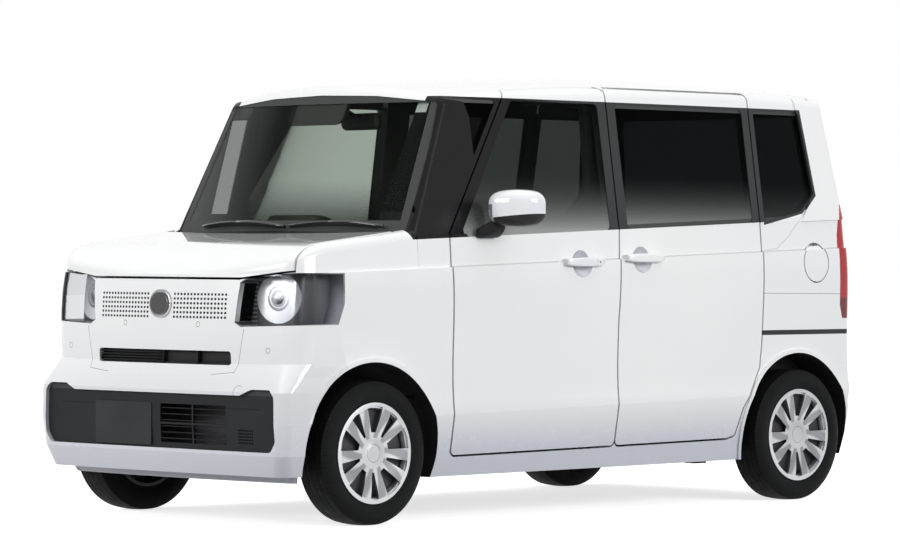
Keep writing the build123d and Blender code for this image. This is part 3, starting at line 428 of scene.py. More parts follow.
def grille_wedges(g, x, y, z):
    """The lower grille's upper outer corners."""
    return (z > 0.503) * (abs(x) > 0.46)


def gloss_black(name):
    g = Graph(name)
    tone = g.noise(5.0)
    return g.finish(g.surface(
        Base_Color=g.mix(tone, rgb(0.008, 0.008, 0.009), rgb(0.014, 0.014, 0.016)),
        Roughness=g.vary(tone, 0.08, 0.14), Coat_Weight=g.vary(tone, 0.5, 0.7),
    ))


def metal(name, colour, rough, metallic=1.0):
    g = Graph(name)
    tone = g.noise(14.0, 3.0)
    fine = g.noise(400.0, 2.0)
    return g.finish(g.surface(
        Base_Color=g.mix(g.vary(tone), colour, dimmed(colour, 0.82)),
        Roughness=g.vary(fine, rough - 0.05, rough + 0.05), Metallic=metallic,
    ))


def wheel_finish(name):
    """Silver cover over a dark steel rim: twin facets with painted shade on one side, a middle darkened as
    painted shade, fine rings at cap and edge.
    """
    g = Graph(name)
    x, y, z = g.place()
    reach, turn = wheel_polar(g, y, z)
    cover = abs(x) > 0.7005
    tone = g.noise(12.0, 2.0)
    silver = g.mix(g.vary(tone), rgb(0.52, 0.53, 0.54), rgb(0.47, 0.48, 0.495))
    # Painted shade: one side of each twin facet is darker, as if turned from the light.
    facet_shade = g.maths("PINGPONG", turn * (5 / math.pi) + reach * 4.0, 0.5) * g.between(reach, 0.060, 0.176)
    silver = g.mix(g.span(facet_shade, 0.18, 0.32, 0.0, 0.8), silver, rgb(0.17, 0.175, 0.18))
    # Painted shade: the cover darkens towards its middle.
    silver = g.mix(g.span(reach, 0.050, 0.085, 0.30, 0.0), silver, rgb(0.24, 0.245, 0.25))
    silver = g.mix(g.near(reach, 0.0345, 0.0016), silver, rgb(0.10, 0.10, 0.10))
    silver = g.mix(g.near(reach, 0.172, 0.0014), silver, rgb(0.25, 0.25, 0.26))
    colour = g.mix(cover, rgb(0.022, 0.022, 0.024), silver)
    return g.finish(g.surface(
        Base_Color=colour, Metallic=cover * 0.80, Roughness=g.vary(tone, 0.30, 0.36) + (1.0 - cover) * 0.3,
    ))


def tyre_rubber(name):
    """Black rubber: grooves and blocks round the tread, darkened as painted shade, fine rings on the
    sidewall.
    """
    g = Graph(name)
    x, y, z = g.place()
    reach, turn = wheel_polar(g, y, z)
    side = abs(x) - TYRE_MIDDLE_X
    tread = reach > 0.262
    groove = g.near(abs(side), 0.016, 0.005) | g.near(abs(side), 0.043, 0.004)
    blocks = (g.maths("PINGPONG", turn * 13.0 + side * 9.0, 0.5) < 0.085) * (abs(side) > 0.020)
    shoulder = (g.maths("PINGPONG", turn * 22.0, 0.5) < 0.12) * g.between(reach, 0.250, 0.268)
    sunk_and_shaded = (groove | blocks) * tread | shoulder
    rings = g.maths("SINE", reach * 2100.0) * 0.12 * g.between(reach, 0.205, 0.246)
    bead = g.near(reach, 0.200, 0.002)
    tone = g.noise(30.0, 3.0)
    colour = g.mix(tone, rgb(0.0045, 0.0048, 0.0052), rgb(0.009, 0.0095, 0.010))
    # Painted shade: the sunk grooves and blocks are darker.
    colour = g.mix(sunk_and_shaded, colour, rgb(0.004, 0.004, 0.004))
    return g.finish(g.surface(
        Base_Color=colour, Roughness=g.vary(tone, 0.55, 0.72), Specular_IOR_Level=0.07,
        Normal=g.bump(g.noise(700.0) * 0.08 + rings + bead * 0.4 - sunk_and_shaded, 0.8, 0.0022),
    ))


def pane_glass(name, tint, border=None, painted_reflection=None):
    """A thin tinted sheet with a mirror sheen that grows at low angles.

    border marks its black print; the last mask marks a painted reflection, a pale film laid over the pane.
    """
    g = Graph(name)
    x, y, z = g.place()
    tone = g.noise(2.0, 1.0)
    through = g.clear(g.mix(g.vary(tone), tint, dimmed(tint, 0.985)))
    film = g.mix(tone, rgb(0.006, 0.007, 0.007), rgb(0.009, 0.010, 0.010))
    factor = g.maths("MINIMUM", g.turned_away("Fresnel", 0.18) * 0.9 + 0.02, 1.0)
    rough = g.vary(tone, 0.02, 0.03)
    if painted_reflection:
        # Painted reflection: a pale film laid over the pane where the mask says.
        pale = painted_reflection(g, x, y, z)
        film = g.mix(pale, film, rgb(0.40, 0.41, 0.405))
        factor = factor | pale
    if border:
        edge = border(g, x, y, z)
        film = g.mix(edge, film, rgb(0.007, 0.008, 0.008))
        factor = factor | edge
        rough = rough + edge * 0.5
    sheen = g.surface(Base_Color=film, Roughness=rough, IOR=1.5)
    return g.finish(g.blend(factor, through, sheen))


def screen_border(g, x, y, z):
    """The black print round the windscreen, widest along its foot."""
    edge = 0.652 - (z - 1.14) * 0.104
    return (z < 1.172) | (z > GLASS_TOP_Z) | (abs(x) > edge - 0.034)


def side_border(g, x, y, z):
    """The narrow black print along the foot and the top of the rear side panes."""
    return (z < belt(y) + 0.018) | (z > GLASS_TOP_Z)


def low_painted_reflection(g, x, y, z):
    """A painted reflection, pale, that grows towards the foot of a side pane."""
    return g.span(z, 1.14, 1.42, 1.0, 0.0) ** 2.0 * 0.8


def quarter_painted_reflection(g, x, y, z):
    """A faint painted reflection at the foot of the fixed side panes."""
    return g.span(z, 1.18, 1.36, 0.25, 0.0)


def screen_painted_reflection(g, x, y, z):
    """A painted reflection: a pale streak down the windscreen, with a fainter veil beside it."""
    slant = x + (z - 1.165) * 0.24
    streak = g.between(slant, -0.455, -0.345) * g.between(z, 1.20, 1.585) * 0.62
    veil = g.span(slant, -0.62, -0.12, 0.26, 0.0)
    return streak | veil


def red_lens(name):
    """Red lens with fine upright ribs and a darker band across it."""
    g = Graph(name)
    x, y, z = g.place()
    ribs = g.maths("PINGPONG", y * 160.0 + abs(x) * 160.0, 0.5)
    colour = g.mix(ribs, rgb(0.34, 0.004, 0.007), rgb(0.55, 0.010, 0.015))
    colour = g.mix(g.between(z, 0.775, 0.86), colour, rgb(0.16, 0.003, 0.005))
    return g.finish(g.surface(
        Base_Color=colour, Roughness=g.span(ribs, 0, 1, 0.12, 0.18),
        Normal=g.bump(ribs, 0.25, 0.002),
    ))


def woven(name, seams):
    """Seat cloth: a fine weave, with the stitched joints between the seat's middle and its bolsters."""
    g = Graph(name)
    x, y, z = g.place()
    weave = g.maths("SINE", (x + y) * 2600.0) * g.maths("SINE", (z + y) * 2600.0)
    tone = g.noise(40.0, 3.0)
    seam = seam_distance(x, seams)
    base = g.mix(tone, CLOTH, CLOTH_SHADE)
    base = g.mix(seam < 0.0022, base, rgb(0.16, 0.155, 0.15))
    stitches = (abs(seam - 0.006) < 0.0009) * (g.maths("PINGPONG", (y + z) * 90.0, 0.5) > 0.15)
    base = g.mix(stitches, base, rgb(0.70, 0.69, 0.67))
    return g.finish(g.surface(
        Base_Color=base, Roughness=g.vary(tone, 0.85, 0.95), Sheen_Weight=0.15,
        Normal=g.bump(weave, 0.25, 0.0006),
    ))


def lamp_offsets(g, x, y, z):
    """The distance from the lamp's axis, and its two parts: across and up."""
    cx, cy, cz = LAMP_CENTRE
    across = (abs(x) - cx) * math.cos(LAMP_TURN) + (y - cy) * math.sin(LAMP_TURN)
    up = z - cz
    return g.radius(across, up), across, up


def lamp_works(name):
    """The lamp's inside: a bright ring and barrel with painted shade on one side, a dark ribbed bowl and a
    black eye with a painted glint.
    """
    g = Graph(name)
    x, y, z = g.place()
    reach, across, up = lamp_offsets(g, x, y, z)
    tone = g.noise(20.0, 2.0)
    ribs = g.maths("PINGPONG", up * 62.0, 0.5) > 0.30
    colour = g.mix(tone, rgb(0.030, 0.032, 0.035), rgb(0.045, 0.047, 0.051))
    colour = g.mix((across < -0.095) * ribs, colour, rgb(0.20, 0.205, 0.21))
    colour = g.mix(g.span(across, 0.125, 0.22), colour, rgb(0.40, 0.42, 0.45))
    ring = g.between(reach, 0.050, 0.097)
    # Painted shade: the ring and the barrel darken towards one side.
    shade = g.span(across + up * 0.6, -0.07, 0.08)
    colour = g.mix(ring, colour, g.mix(shade, rgb(0.88, 0.89, 0.90), rgb(0.34, 0.35, 0.37)))
    barrel = g.between(reach, 0.024, 0.050)
    colour = g.mix(barrel, colour, g.mix(shade, rgb(0.16, 0.165, 0.175), rgb(0.30, 0.31, 0.33)))
    colour = g.mix(g.near(reach, 0.037, 0.003), colour, rgb(0.70, 0.71, 0.73))
    eye = reach < 0.024
    # Painted highlight: a bright glint across one side of the black eye.
    painted_glint = g.span(across - up, -0.012, 0.016)
    colour = g.mix(eye, colour, g.mix(painted_glint, rgb(0.60, 0.61, 0.64), rgb(0.02, 0.02, 0.024)))
    bright = ring | barrel
    return g.finish(g.surface(
        Base_Color=colour, Metallic=bright * 0.55, Roughness=0.34 - bright * 0.14 - eye * 0.28 + tone * 0.05,
        Coat_Weight=eye, Normal=g.bump(ribs * (1.0 - bright), 0.3, 0.002),
    ))


def lamp_lens(name):
    """The lamp's clear cover, black at its edge."""
    g = Graph(name)
    nx, ny, _ = g.facing()
    x, _, _ = g.place()
    square_on = abs(g.maths("SIGN", x) * nx * math.sin(LAMP_TURN) - ny * math.cos(LAMP_TURN))
    tone = g.noise(8.0, 1.0)
    through = g.clear(g.mix(tone, rgb(0.955, 0.96, 0.965), rgb(0.94, 0.945, 0.955)))
    film = g.mix(tone, rgb(0.010, 0.010, 0.011), rgb(0.014, 0.014, 0.015))
    sheen = g.surface(Base_Color=film, Roughness=0.03)
    factor = (g.turned_away("Fresnel", 0.12) * 0.9 + 0.015) | (square_on < 0.42)
    return g.finish(g.blend(g.maths("MINIMUM", factor, 1.0), through, sheen))


def mirror_finish(name):
    """Painted cap, black lower shell, clear turn lamp at the front inner corner and the mirror itself."""
    g = Graph(name)
    x, y, z = g.place()
    _, ny, _ = g.facing()
    out = abs(x)
    dark = mirror_black(g, x, y, z)
    lamp = g.between(out, 0.752, 0.792) * g.between(z, 1.168, 1.238) * (y < -0.53)
    glass = (ny > 0.7) * (y > -0.492) * g.between(out, 0.768, 0.936) * g.between(z, 1.166, 1.284)
    cloud = g.noise(3.0, 2.0)
    colour = g.mix(cloud, PEARL, PEARL_SHADE)
    colour = g.mix(dark, colour, rgb(0.006, 0.006, 0.007))
    colour = g.mix(lamp, colour, rgb(0.50, 0.51, 0.53))
    colour = g.mix(glass, colour, rgb(0.80, 0.82, 0.84))
    return g.finish(g.surface(
        Base_Color=colour, Metallic=g.maths("MINIMUM", glass + lamp * 0.7, 1.0),
        Roughness=g.vary(cloud, 0.20, 0.25) + dark * 0.22 - glass * 0.17,
        Coat_Weight=1.0 - dark * 0.8, Coat_Roughness=COAT_ROUGHNESS, Specular_IOR_Level=0.12,
    ))


def handle_finish(name):
    """Painted grip with a keyhole in its fixed rear part."""
    g = Graph(name)
    _, y, z = g.place()
    cloud = g.noise(3.0, 2.0)
    hole = g.radius(y - 0.022, z - FRONT_GRIP[1]) < 0.0042
    joint = abs(y - 0.004) < 0.0009
    colour = g.mix(cloud, PEARL, PEARL_SHADE)
    colour = g.mix(joint, colour, JOINT_AND_CREASE_SHADE_GREY)
    colour = g.mix(hole, colour, BLACK)
    return g.finish(g.surface(
        Base_Color=colour, Roughness=g.vary(cloud, 0.20, 0.25), Metallic=0.06,
        Coat_Weight=1.0 - hole, Coat_Roughness=COAT_ROUGHNESS,
    ))


paint = pearl_paint("pearl paint", inside=None)
# The nose's painted shade darkens downwards over a taller span.
nose_paint = pearl_paint("pearl paint with nose joints", vent_holes, nose_lines, inside=None,
                         foot=(0.12, 0.76))
roof_paint = pearl_paint("pearl paint, lined roof", inside="roof")
gate_paint = pearl_paint("pearl paint, black rear band", gate_black, inside="gate")
door_paint = pearl_paint("pearl paint, black sash", sash_black, waist_line, shaded=scoop_shade)
side_paint = pearl_paint("pearl paint, black pillars", pillar_black, quarter_lines)
mirror_paint = mirror_finish("mirror shell")
handle_paint = handle_finish("handle paint")
dark_plastic = grained_plastic("dark plastic", rgb(0.009, 0.009, 0.010), shine=0.14)
grille_plastic = grained_plastic("grille plastic", rgb(0.013, 0.0135, 0.0145), 0.5, groove=grille_grooves,
                                 second=grille_wedges, shine=0.10)
cabin_plastic = grained_plastic("cabin plastic", rgb(0.040, 0.039, 0.038), 0.6)
black_gloss = gloss_black("gloss black")
rubber = tyre_rubber("tyre rubber")
wheel_silver = wheel_finish("wheel cover")
chrome = metal("bright trim", rgb(0.80, 0.81, 0.82), 0.12)
satin_chrome = metal("satin trim", rgb(0.33, 0.335, 0.34), 0.22)
steel = metal("plain steel", rgb(0.20, 0.20, 0.21), 0.45)
cast = metal("cast metal", rgb(0.07, 0.07, 0.075), 0.6, 0.6)
screen_pane = pane_glass("windscreen glass", rgb(0.915, 0.945, 0.915), screen_border, screen_painted_reflection)
clear_pane = pane_glass("door glass", rgb(0.66, 0.69, 0.665), None, low_painted_reflection)
dark_pane = pane_glass("privacy glass", PRIVACY_TINT, side_border, quarter_painted_reflection)
rear_pane = pane_glass("rear privacy glass", PRIVACY_TINT)
slide_pane = pane_glass("sliding door glass", PRIVACY_TINT, side_border, low_painted_reflection)
red = red_lens("red lens")
front_cloth = woven("front seat cloth", FRONT_SEAT_SEAMS)
rear_cloth = woven("rear seat cloth", REAR_SEAT_SEAMS)
plate_paint = grained_plastic("plate paint", rgb(0.024, 0.027, 0.0285), 0.42, 900.0, shine=0.10)
works = lamp_works("lamp works")
lens = lamp_lens("lamp lens")

FINISHES = (
    (roof_paint, "roof_panel"),
    (side_paint, "side_frame_left side_frame_right"),
    (dark_plastic, "bulkhead cowl floor_pan arch_liners fuel_tank"),
    (paint, "front_fenders bonnet sliding_door_handles rear_bumper fuel_lid"),
    (nose_paint, "front_bumper nose_panel"),
    (grille_plastic, "lower_grille"),
    (works, "headlights"),
    (lens, "headlight_lenses"),
    (plate_paint, "front_plate"),
    (screen_pane, "windscreen"),
    (dark_pane, "fixed_glass"),
    (door_paint, "front_door_left front_door_right sliding_doors"),
    (clear_pane, "front_door_glass_left front_door_glass_right"),
    (mirror_paint, "door_mirror_left door_mirror_right"),
    (handle_paint, "front_door_handle_left front_door_handle_right"),
    (slide_pane, "sliding_door_glass"),
    (gate_paint, "tailgate"),
    (rear_pane, "tailgate_glass"),
    (red, "tail_lights"),
    (rubber, "front_tyre_left front_tyre_right rear_tyre_left rear_tyre_right"),
    (wheel_silver, "front_wheel_left front_wheel_right rear_wheel_left rear_wheel_right"),
    (cast, "knuckle_left knuckle_right engine_block"),
    (steel, "front_subframe rear_axle"),
    (cabin_plastic, "dashboard steering_wheel steering_column seat_bases"),
    (front_cloth, "front_seats"),
    (rear_cloth, "rear_seats"),
)
for material, names in FINISHES:
    for name in names.split():
        nodes[name].data.materials.clear()
        nodes[name].data.materials.append(material)


# ---------------------------------------------------------------- pieces

# The slot of each material that a fitting is made of.
SLOTS = {
    "body_paint": (paint, mirror_paint, handle_paint),
    "black_trim": (dark_plastic, grille_plastic, black_gloss),
    "cabin_plastic": (cabin_plastic,),
    "cover_silver": (chrome, satin_chrome),
    "lamp_red": (red,),
}
SLOT_OF = {material.name: slot for slot, materials in SLOTS.items() for material in materials}


def add_piece(name, mesh, material, body="car"):
    """A finished mesh as a piece that rides on a body of the car."""
    made = bpy.data.objects.new(name, mesh)
    mesh.materials.clear()
    mesh.materials.append(material)
    scene.collection.objects.link(made)
    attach(made, body)
    return made


def loft_mesh(name, rings):
    """A closed skin through rings of points, each ring with as many points as the next."""
    count = len(rings[0])
    points = [tuple(p) for ring in rings for p in ring]
    faces = [tuple(reversed(range(count))), tuple(range(len(points) - count, len(points)))]
    for k in range(len(rings) - 1):
        for i in range(count):
            j = (i + 1) % count
            faces.append((k * count + i, k * count + j, (k + 1) * count + j, (k + 1) * count + i))
    mesh = bpy.data.meshes.new(name)
    mesh.from_pydata(points, [], faces)
    build = bmesh.new()
    build.from_mesh(mesh)
    bmesh.ops.recalc_face_normals(build, faces=build.faces)
    build.to_mesh(mesh)
    build.free()
    for face in mesh.polygons:
        face.use_smooth = len(face.vertices) == 4
    return mesh


def oblong(middle, u, v, half_u, half_v, radius, steps=5):
    """A ring of points: a rounded rectangle, or an oval where the radius is as large as the smaller half."""
    middle, u, v = Vector(middle), Vector(u).normalized(), Vector(v).normalized()
    radius = min(radius, half_u, half_v)
    ring = []
    for sign_u, sign_v, start in ((1, 1, 0), (-1, 1, 90), (-1, -1, 180), (1, -1, 270)):
        for k in range(steps + 1):
            angle = math.radians(start + 90 * k / steps)
            ring.append(middle + u * (sign_u * (half_u - radius) + radius * math.cos(angle))
                        + v * (sign_v * (half_v - radius) + radius * math.sin(angle)))
    return ring


def pad_mesh(name, middle, u, v, half_u, half_v, depth, radius, edge, steps=5):
    """A rounded block: it stands on its middle plane and rises by depth along u × v, with softened edges."""
    out = u.normalized().cross(v.normalized())
    rings = [oblong(middle, u, v, half_u, half_v, radius, steps)]
    for k in range(4):
        turn = math.radians(30 * k)
        inset = edge * (1 - math.cos(turn))
        level = middle + out * (depth - edge + edge * math.sin(turn))
        corner = max(radius - inset, 0.0005)
        rings.append(oblong(level, u, v, half_u - inset, half_v - inset, corner, steps))
    return loft_mesh(name, rings)


def bar_mesh(name, path, half_wide, half_high, up, radius=None):
    """A bar of rounded section along a path; half_wide may be one number or one for each point."""
    rings = []
    for i, point in enumerate(path):
        ahead = (path[min(i + 1, len(path) - 1)] - path[max(i - 1, 0)]).normalized()
        side = ahead.cross(up).normalized()
        wide = half_wide[i] if isinstance(half_wide, list) else half_wide
        corner = radius or min(wide, half_high) * 0.7
        rings.append(oblong(point, side, ahead.cross(side), wide, half_high, corner, 2))
    return loft_mesh(name, rings)


LEFT = Vector((1, 0, 0))
AHEAD, BACK = Vector((0, -1, 0)), Vector((0, 1, 0))
UP, DOWN = Vector((0, 0, 1)), Vector((0, 0, -1))
GLASS_UP = Vector((0, 0.42, 0.91))  # up along the windscreen
FAR = 3.0  # clear of the car's ends, where a line towards it starts

skins = {}


def touch(node, start, direction):
    """Where a straight line from start first meets that node, and the surface's outward direction there."""
    if node not in skins:
        data = nodes[node].data
        skins[node] = BVHTree.FromPolygons([v.co for v in data.vertices], [p.vertices for p in data.polygons])
    place, normal, _, _ = skins[node].ray_cast(Vector(start), direction)
    if place is None:
        raise RuntimeError("nothing of " + node + " lies that way")
    if normal.dot(direction) > 0:
        normal = -normal
    return place, normal


def seated(name, seat, sink, sizes, material, body="car", upright=False, steps=5):
    """A rounded block sunk a little into the surface it sits on, along that surface or upright.

    seat is what touch gives; sizes are pad_mesh's half_u, half_v, depth, radius and edge.
    """
    place, normal = seat
    across = UP.cross(normal).normalized()
    above = UP if upright else normal.cross(across)
    mesh = pad_mesh(name, place - normal * sink, across, above, *sizes, steps)
    return add_piece(name, mesh, material, body)


def both_sides(rings):
    """The rings and their mirror image, as two lists."""
    return rings, [[Vector((-p.x, p.y, p.z)) for p in ring] for ring in rings]


def joined(name, meshes):
    """Several meshes as one."""
    build = bmesh.new()
    for mesh in meshes:
        build.from_mesh(mesh)
    whole = bpy.data.meshes.new(name)
    build.to_mesh(whole)
    build.free()
    return whole


GRIP_LENGTH = 0.220
GRIP_STEPS = 12


def grip_rings(place):
    """A door grip's sections from front foot to rear foot: thick in the middle, seated at both ends."""
    y, z = place
    rings = []
    for k in range(GRIP_STEPS + 1):
        part = k / GRIP_STEPS
        lift = math.sin(math.pi * part) ** 0.6
        inner, outer = 0.722 + 0.026 * lift, 0.752 + 0.0125 * lift
        middle = ((inner + outer) / 2, y + GRIP_LENGTH * (part - 0.5), z)
        rings.append(oblong(middle, LEFT, UP, (outer - inner) / 2, 0.012 + 0.0065 * lift, 0.008))
    return rings


# Door handles: solid rounded grips in place of the plain bars.
for side, rings in zip(("left", "right"), both_sides(grip_rings(FRONT_GRIP))):
    grip = add_piece(f"front_door_grip_{side}", loft_mesh("grip", rings), handle_paint,
                     f"front_door_{side}_body")
    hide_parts(f"front_door_handle_{side}")
slide_meshes = [loft_mesh("grip", rings) for rings in both_sides(grip_rings(SLIDE_GRIP))]
slide_grips = add_piece("sliding_door_grips", joined("slide grips", slide_meshes), paint)
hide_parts("sliding_door_handles")

# Door mirrors: a rounded pod that bulges forward at its inner end, on a foot at the window's corner.
POD = (
    # x, front y, rear y, low z, high z, corner
    (0.7535, -0.612, -0.512, 1.190, 1.262, 0.030),
    (0.7600, -0.634, -0.500, 1.172, 1.276, 0.036),
    (0.7850, -0.643, -0.491, 1.158, 1.289, 0.042),
    (0.8300, -0.636, -0.487, 1.151, 1.296, 0.046),
    (0.8800, -0.618, -0.486, 1.150, 1.297, 0.046),
    (0.9200, -0.592, -0.487, 1.156, 1.291, 0.042),
    (0.9400, -0.566, -0.490, 1.170, 1.278, 0.034),
    (0.9475, -0.545, -0.500, 1.188, 1.260, 0.022),
)
FOOT = (
    (0.6990, -0.655, -0.535, 1.104, 1.142, 0.012),
    (0.7350, -0.650, -0.535, 1.106, 1.150, 0.016),
    (0.7640, -0.632, -0.545, 1.116, 1.176, 0.020),
    (0.7900, -0.615, -0.555, 1.140, 1.180, 0.018),
)


def slice_rings(table):
    """The sections of a mirror's part, from the door outwards."""
    return [oblong((x, (y0 + y1) / 2, (z0 + z1) / 2), BACK, UP, (y1 - y0) / 2, (z1 - z0) / 2, corner, 6)
            for x, y0, y1, z0, z1, corner in table]


for side, pod, foot in zip(("left", "right"), both_sides(slice_rings(POD)), both_sides(slice_rings(FOOT))):
    body = f"front_door_{side}_body"
    shell = add_piece(f"mirror_pod_{side}", loft_mesh("pod", pod), mirror_paint, body)
    shell.modifiers.new("round", "SUBSURF").levels = 2
    shell.modifiers["round"].render_levels = 2
    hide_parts(f"door_mirror_{side}")
    base = add_piece(f"mirror_foot_{side}", loft_mesh("foot", foot), dark_plastic, body)
    base.modifiers.new("round", "SUBSURF").levels = 1

# Wipers: each has a blade on the glass, a bow over it and an arm down to its pivot at the scuttle.
BLADE_STEPS = 12
ARM_STEPS = 7
BLADE_LIFT = 0.006


def humps(steps):
    """Values along a part that rise from 0 to 1 at its middle and fall to 0 again."""
    return [math.sin(math.pi * k / steps) for k in range(steps + 1)]


for side, (tip_x, pivot_x) in {"right": (-0.470, 0.060), "left": (0.075, 0.560)}.items():
    blade, bow, bow_widths = [], [], []
    for k, swell in enumerate(humps(BLADE_STEPS)):
        x = tip_x + (pivot_x - 0.04 - tip_x) * k / BLADE_STEPS
        place, normal = touch("windscreen", (x, -FAR, 1.146 + 0.010 * swell), BACK)
        blade.append(place + normal * BLADE_LIFT)
        bow.append(place + normal * (0.014 + 0.008 * swell))
        bow_widths.append(0.0045 + 0.004 * swell)
    pivot, lean = touch("windscreen", (pivot_x, -FAR, 1.140), BACK)
    joint, root = bow[BLADE_STEPS // 2], pivot + lean * 0.012
    arm = [joint.lerp(root, k / ARM_STEPS) + lean * (0.006 + 0.016 * swell)
           for k, swell in enumerate(humps(ARM_STEPS))]
    arm_widths = [0.0045 + 0.0006 * k for k in range(ARM_STEPS + 1)]
    add_piece(f"wiper_blade_{side}", bar_mesh("blade", blade, 0.0022, 0.0062, GLASS_UP), dark_plastic)
    add_piece(f"wiper_bow_{side}", bar_mesh("bow", bow, bow_widths, 0.0040, GLASS_UP), black_gloss)
    add_piece(f"wiper_arm_{side}", bar_mesh("arm", arm, arm_widths, 0.0055, GLASS_UP), black_gloss)

# Upper slot: a dark back panel with louvres on the car's right half and three upright ribs.
SLOT_START_X, SLOT_WIDTH, SLOT_STEPS = -0.382, 0.774, 16
SLOT_LIP_Z, SLOT_DROP = 0.690, 0.0485
PANEL_DEPTH, LOUVRE_DEPTH = 0.034, 0.018

slot_lip = []
for k in range(SLOT_STEPS + 1):
    x = SLOT_START_X + SLOT_WIDTH * k / SLOT_STEPS
    slot_lip.append(touch("front_bumper", (x, -FAR, SLOT_LIP_Z), BACK)[0] + DOWN * SLOT_DROP)
slot_back = [p + BACK * PANEL_DEPTH for p in slot_lip]
slot_front = [p + BACK * LOUVRE_DEPTH for p in slot_lip]
add_piece("slot_panel", bar_mesh("slot panel", slot_back, 0.004, 0.030, UP, 0.002), dark_plastic)
for k, rise in enumerate((-0.0165, -0.0055, 0.0055, 0.0165)):
    slat = [p + UP * rise for p in slot_front[:SLOT_STEPS // 2 + 1]]
    add_piece(f"slot_louvre_{k + 1}", bar_mesh("louvre", slat, 0.010, 0.0020, UP, 0.001), grille_plastic)
for k, step in enumerate((0, 8, 12)):
    stem = [slot_front[step] + BACK * 0.004 + UP * rise for rise in (-0.028, 0.0, 0.028)]
    add_piece(f"slot_rib_{k + 1}", bar_mesh("rib", stem, 0.003, 0.012, BACK, 0.001), grille_plastic)

# Blank oval in the middle of the nose panel: a bright rim round a dark, bare disc.
oval_seat = touch("nose_panel", (0.0, -FAR, 0.846), BACK)
seated("oval_rim", oval_seat, 0.004, (0.064, 0.055, 0.011, 0.055, 0.006), satin_chrome, steps=12)
seated("oval_disc", oval_seat, -0.004, (0.053, 0.044, 0.0085, 0.044, 0.004), black_gloss, steps=12)


def on_glass(x, z):
    """The point of the windscreen's inner face at that x and z."""
    return touch("windscreen", (x, 0.0, z), AHEAD)[0]


# Behind the windscreen: the sensor housing, the room mirror on its stalk, and the instrument hood.
housing = []
for depth, spread in ((0.001, 1.0), (0.020, 0.97), (0.045, 0.86), (0.056, 0.70)):
    ring = oblong((-0.008, 0, 1.612), LEFT, UP, 0.160 * spread, 0.058 * spread, 0.034)
    housing.append([on_glass(p.x, p.z) + BACK * depth for p in ring])
add_piece("sensor_housing", loft_mesh("sensor housing", housing), cabin_plastic)

MIRROR_PLACE = Vector((0.055, -0.632, 1.574))
MIRROR_ACROSS = Vector((1, -0.12, 0)).normalized()
shell = pad_mesh("room mirror", MIRROR_PLACE, MIRROR_ACROSS, UP, 0.122, 0.034, 0.026, 0.026, 0.016)
add_piece("room_mirror", shell, cabin_plastic)
glass = pad_mesh("room mirror glass", MIRROR_PLACE + BACK * 0.0005, -MIRROR_ACROSS, UP,
                 0.118, 0.030, 0.002, 0.024, 0.0008)
add_piece("room_mirror_glass", glass, chrome)
stalk = [on_glass(0.05, 1.655), Vector((0.05, -0.735, 1.622)), Vector((0.053, -0.690, 1.600)),
         MIRROR_PLACE + AHEAD * 0.018]
add_piece("room_mirror_stalk", bar_mesh("stalk", stalk, 0.010, 0.010, LEFT, 0.009), cabin_plastic)

HOOD_X, HOOD_START_Y, HOOD_LENGTH, HOOD_STEPS = -0.305, -0.690, 0.150, 6
DASH_PROBE_X, DASH_REAR_Y = -0.335, -0.560  # where the top of the dashboard is felt for, and how far back
hood = []
for k, swell in enumerate(humps(HOOD_STEPS)):
    part = k / HOOD_STEPS
    y = HOOD_START_Y + HOOD_LENGTH * part
    rise = 0.100 + 0.062 * math.sin(math.pi * (0.20 + 0.45 * part))
    foot = touch("dashboard", (DASH_PROBE_X, min(y, DASH_REAR_Y), 1.4), DOWN)[0].z
    middle = (HOOD_X, y, foot + rise / 2 - 0.006)
    hood.append(oblong(middle, LEFT, UP, 0.150 + 0.012 * swell, rise / 2 + 0.008, 0.042))
add_piece("instrument_hood", loft_mesh("instrument hood", hood), cabin_plastic)

# Tailgate: wiper, high stop lamp, and the garnish and grip of its opening handle. Bumper: two reflectors.
GATE = "tailgate_body"
REAR_STEPS = 8
sweep, spine = [], []
for k, swell in enumerate(humps(REAR_STEPS)):
    x = -0.030 + 0.360 * k / REAR_STEPS
    place, normal = touch("tailgate_glass", (x, FAR, 1.252 - 0.006 * swell), AHEAD)
    sweep.append(place + normal * BLADE_LIFT)
    spine.append(place + normal * (0.015 + 0.006 * swell))
hub_seat = touch("tailgate_glass", (-0.060, FAR, 1.232), AHEAD)
spine.insert(0, hub_seat[0] + hub_seat[1] * 0.016)
spine_widths = [0.011] + [0.008 - 0.0005 * k for k in range(REAR_STEPS + 1)]
add_piece("rear_wiper_blade", bar_mesh("rear blade", sweep, 0.0022, 0.0060, UP), dark_plastic, GATE)
add_piece("rear_wiper_arm", bar_mesh("rear arm", spine, spine_widths, 0.0055, UP), black_gloss, GATE)
seated("rear_wiper_hub", hub_seat, 0.001, (0.020, 0.020, 0.020, 0.020, 0.006), black_gloss, GATE,
       upright=True, steps=8)

lamp_seat = touch("tailgate", (0.0, FAR, 1.706), AHEAD)
seated("high_stop_lamp", lamp_seat, 0.003, (0.150, 0.010, 0.008, 0.006, 0.002), red, GATE)
place, normal = touch("tailgate", (0.0, FAR, 1.085), AHEAD)
seated("gate_handle_garnish", (place, normal), 0.004, (0.260, 0.024, 0.018, 0.016, 0.008), paint, GATE,
       upright=True)
seated("gate_handle_grip", (place + DOWN * 0.034, normal), 0.004, (0.100, 0.010, 0.008, 0.008, 0.003),
       dark_plastic, GATE, upright=True)
for side, x in (("left", 0.575), ("right", -0.575)):
    seat = touch("rear_bumper", (x, FAR, 0.345), AHEAD)
    seated(f"rear_reflector_{side}", seat, 0.003, (0.058, 0.014, 0.008, 0.008, 0.002), red)

# ---------------------------------------------------------------- stuffed seats

VOXEL = 0.014
SHRINK = 0.007
PRESSURE = 4
LAST_FRAME = 20
SWELL_CAP = 0.022
SEAM_DEPTH = 0.006
SEAM_WIDTH = 0.008


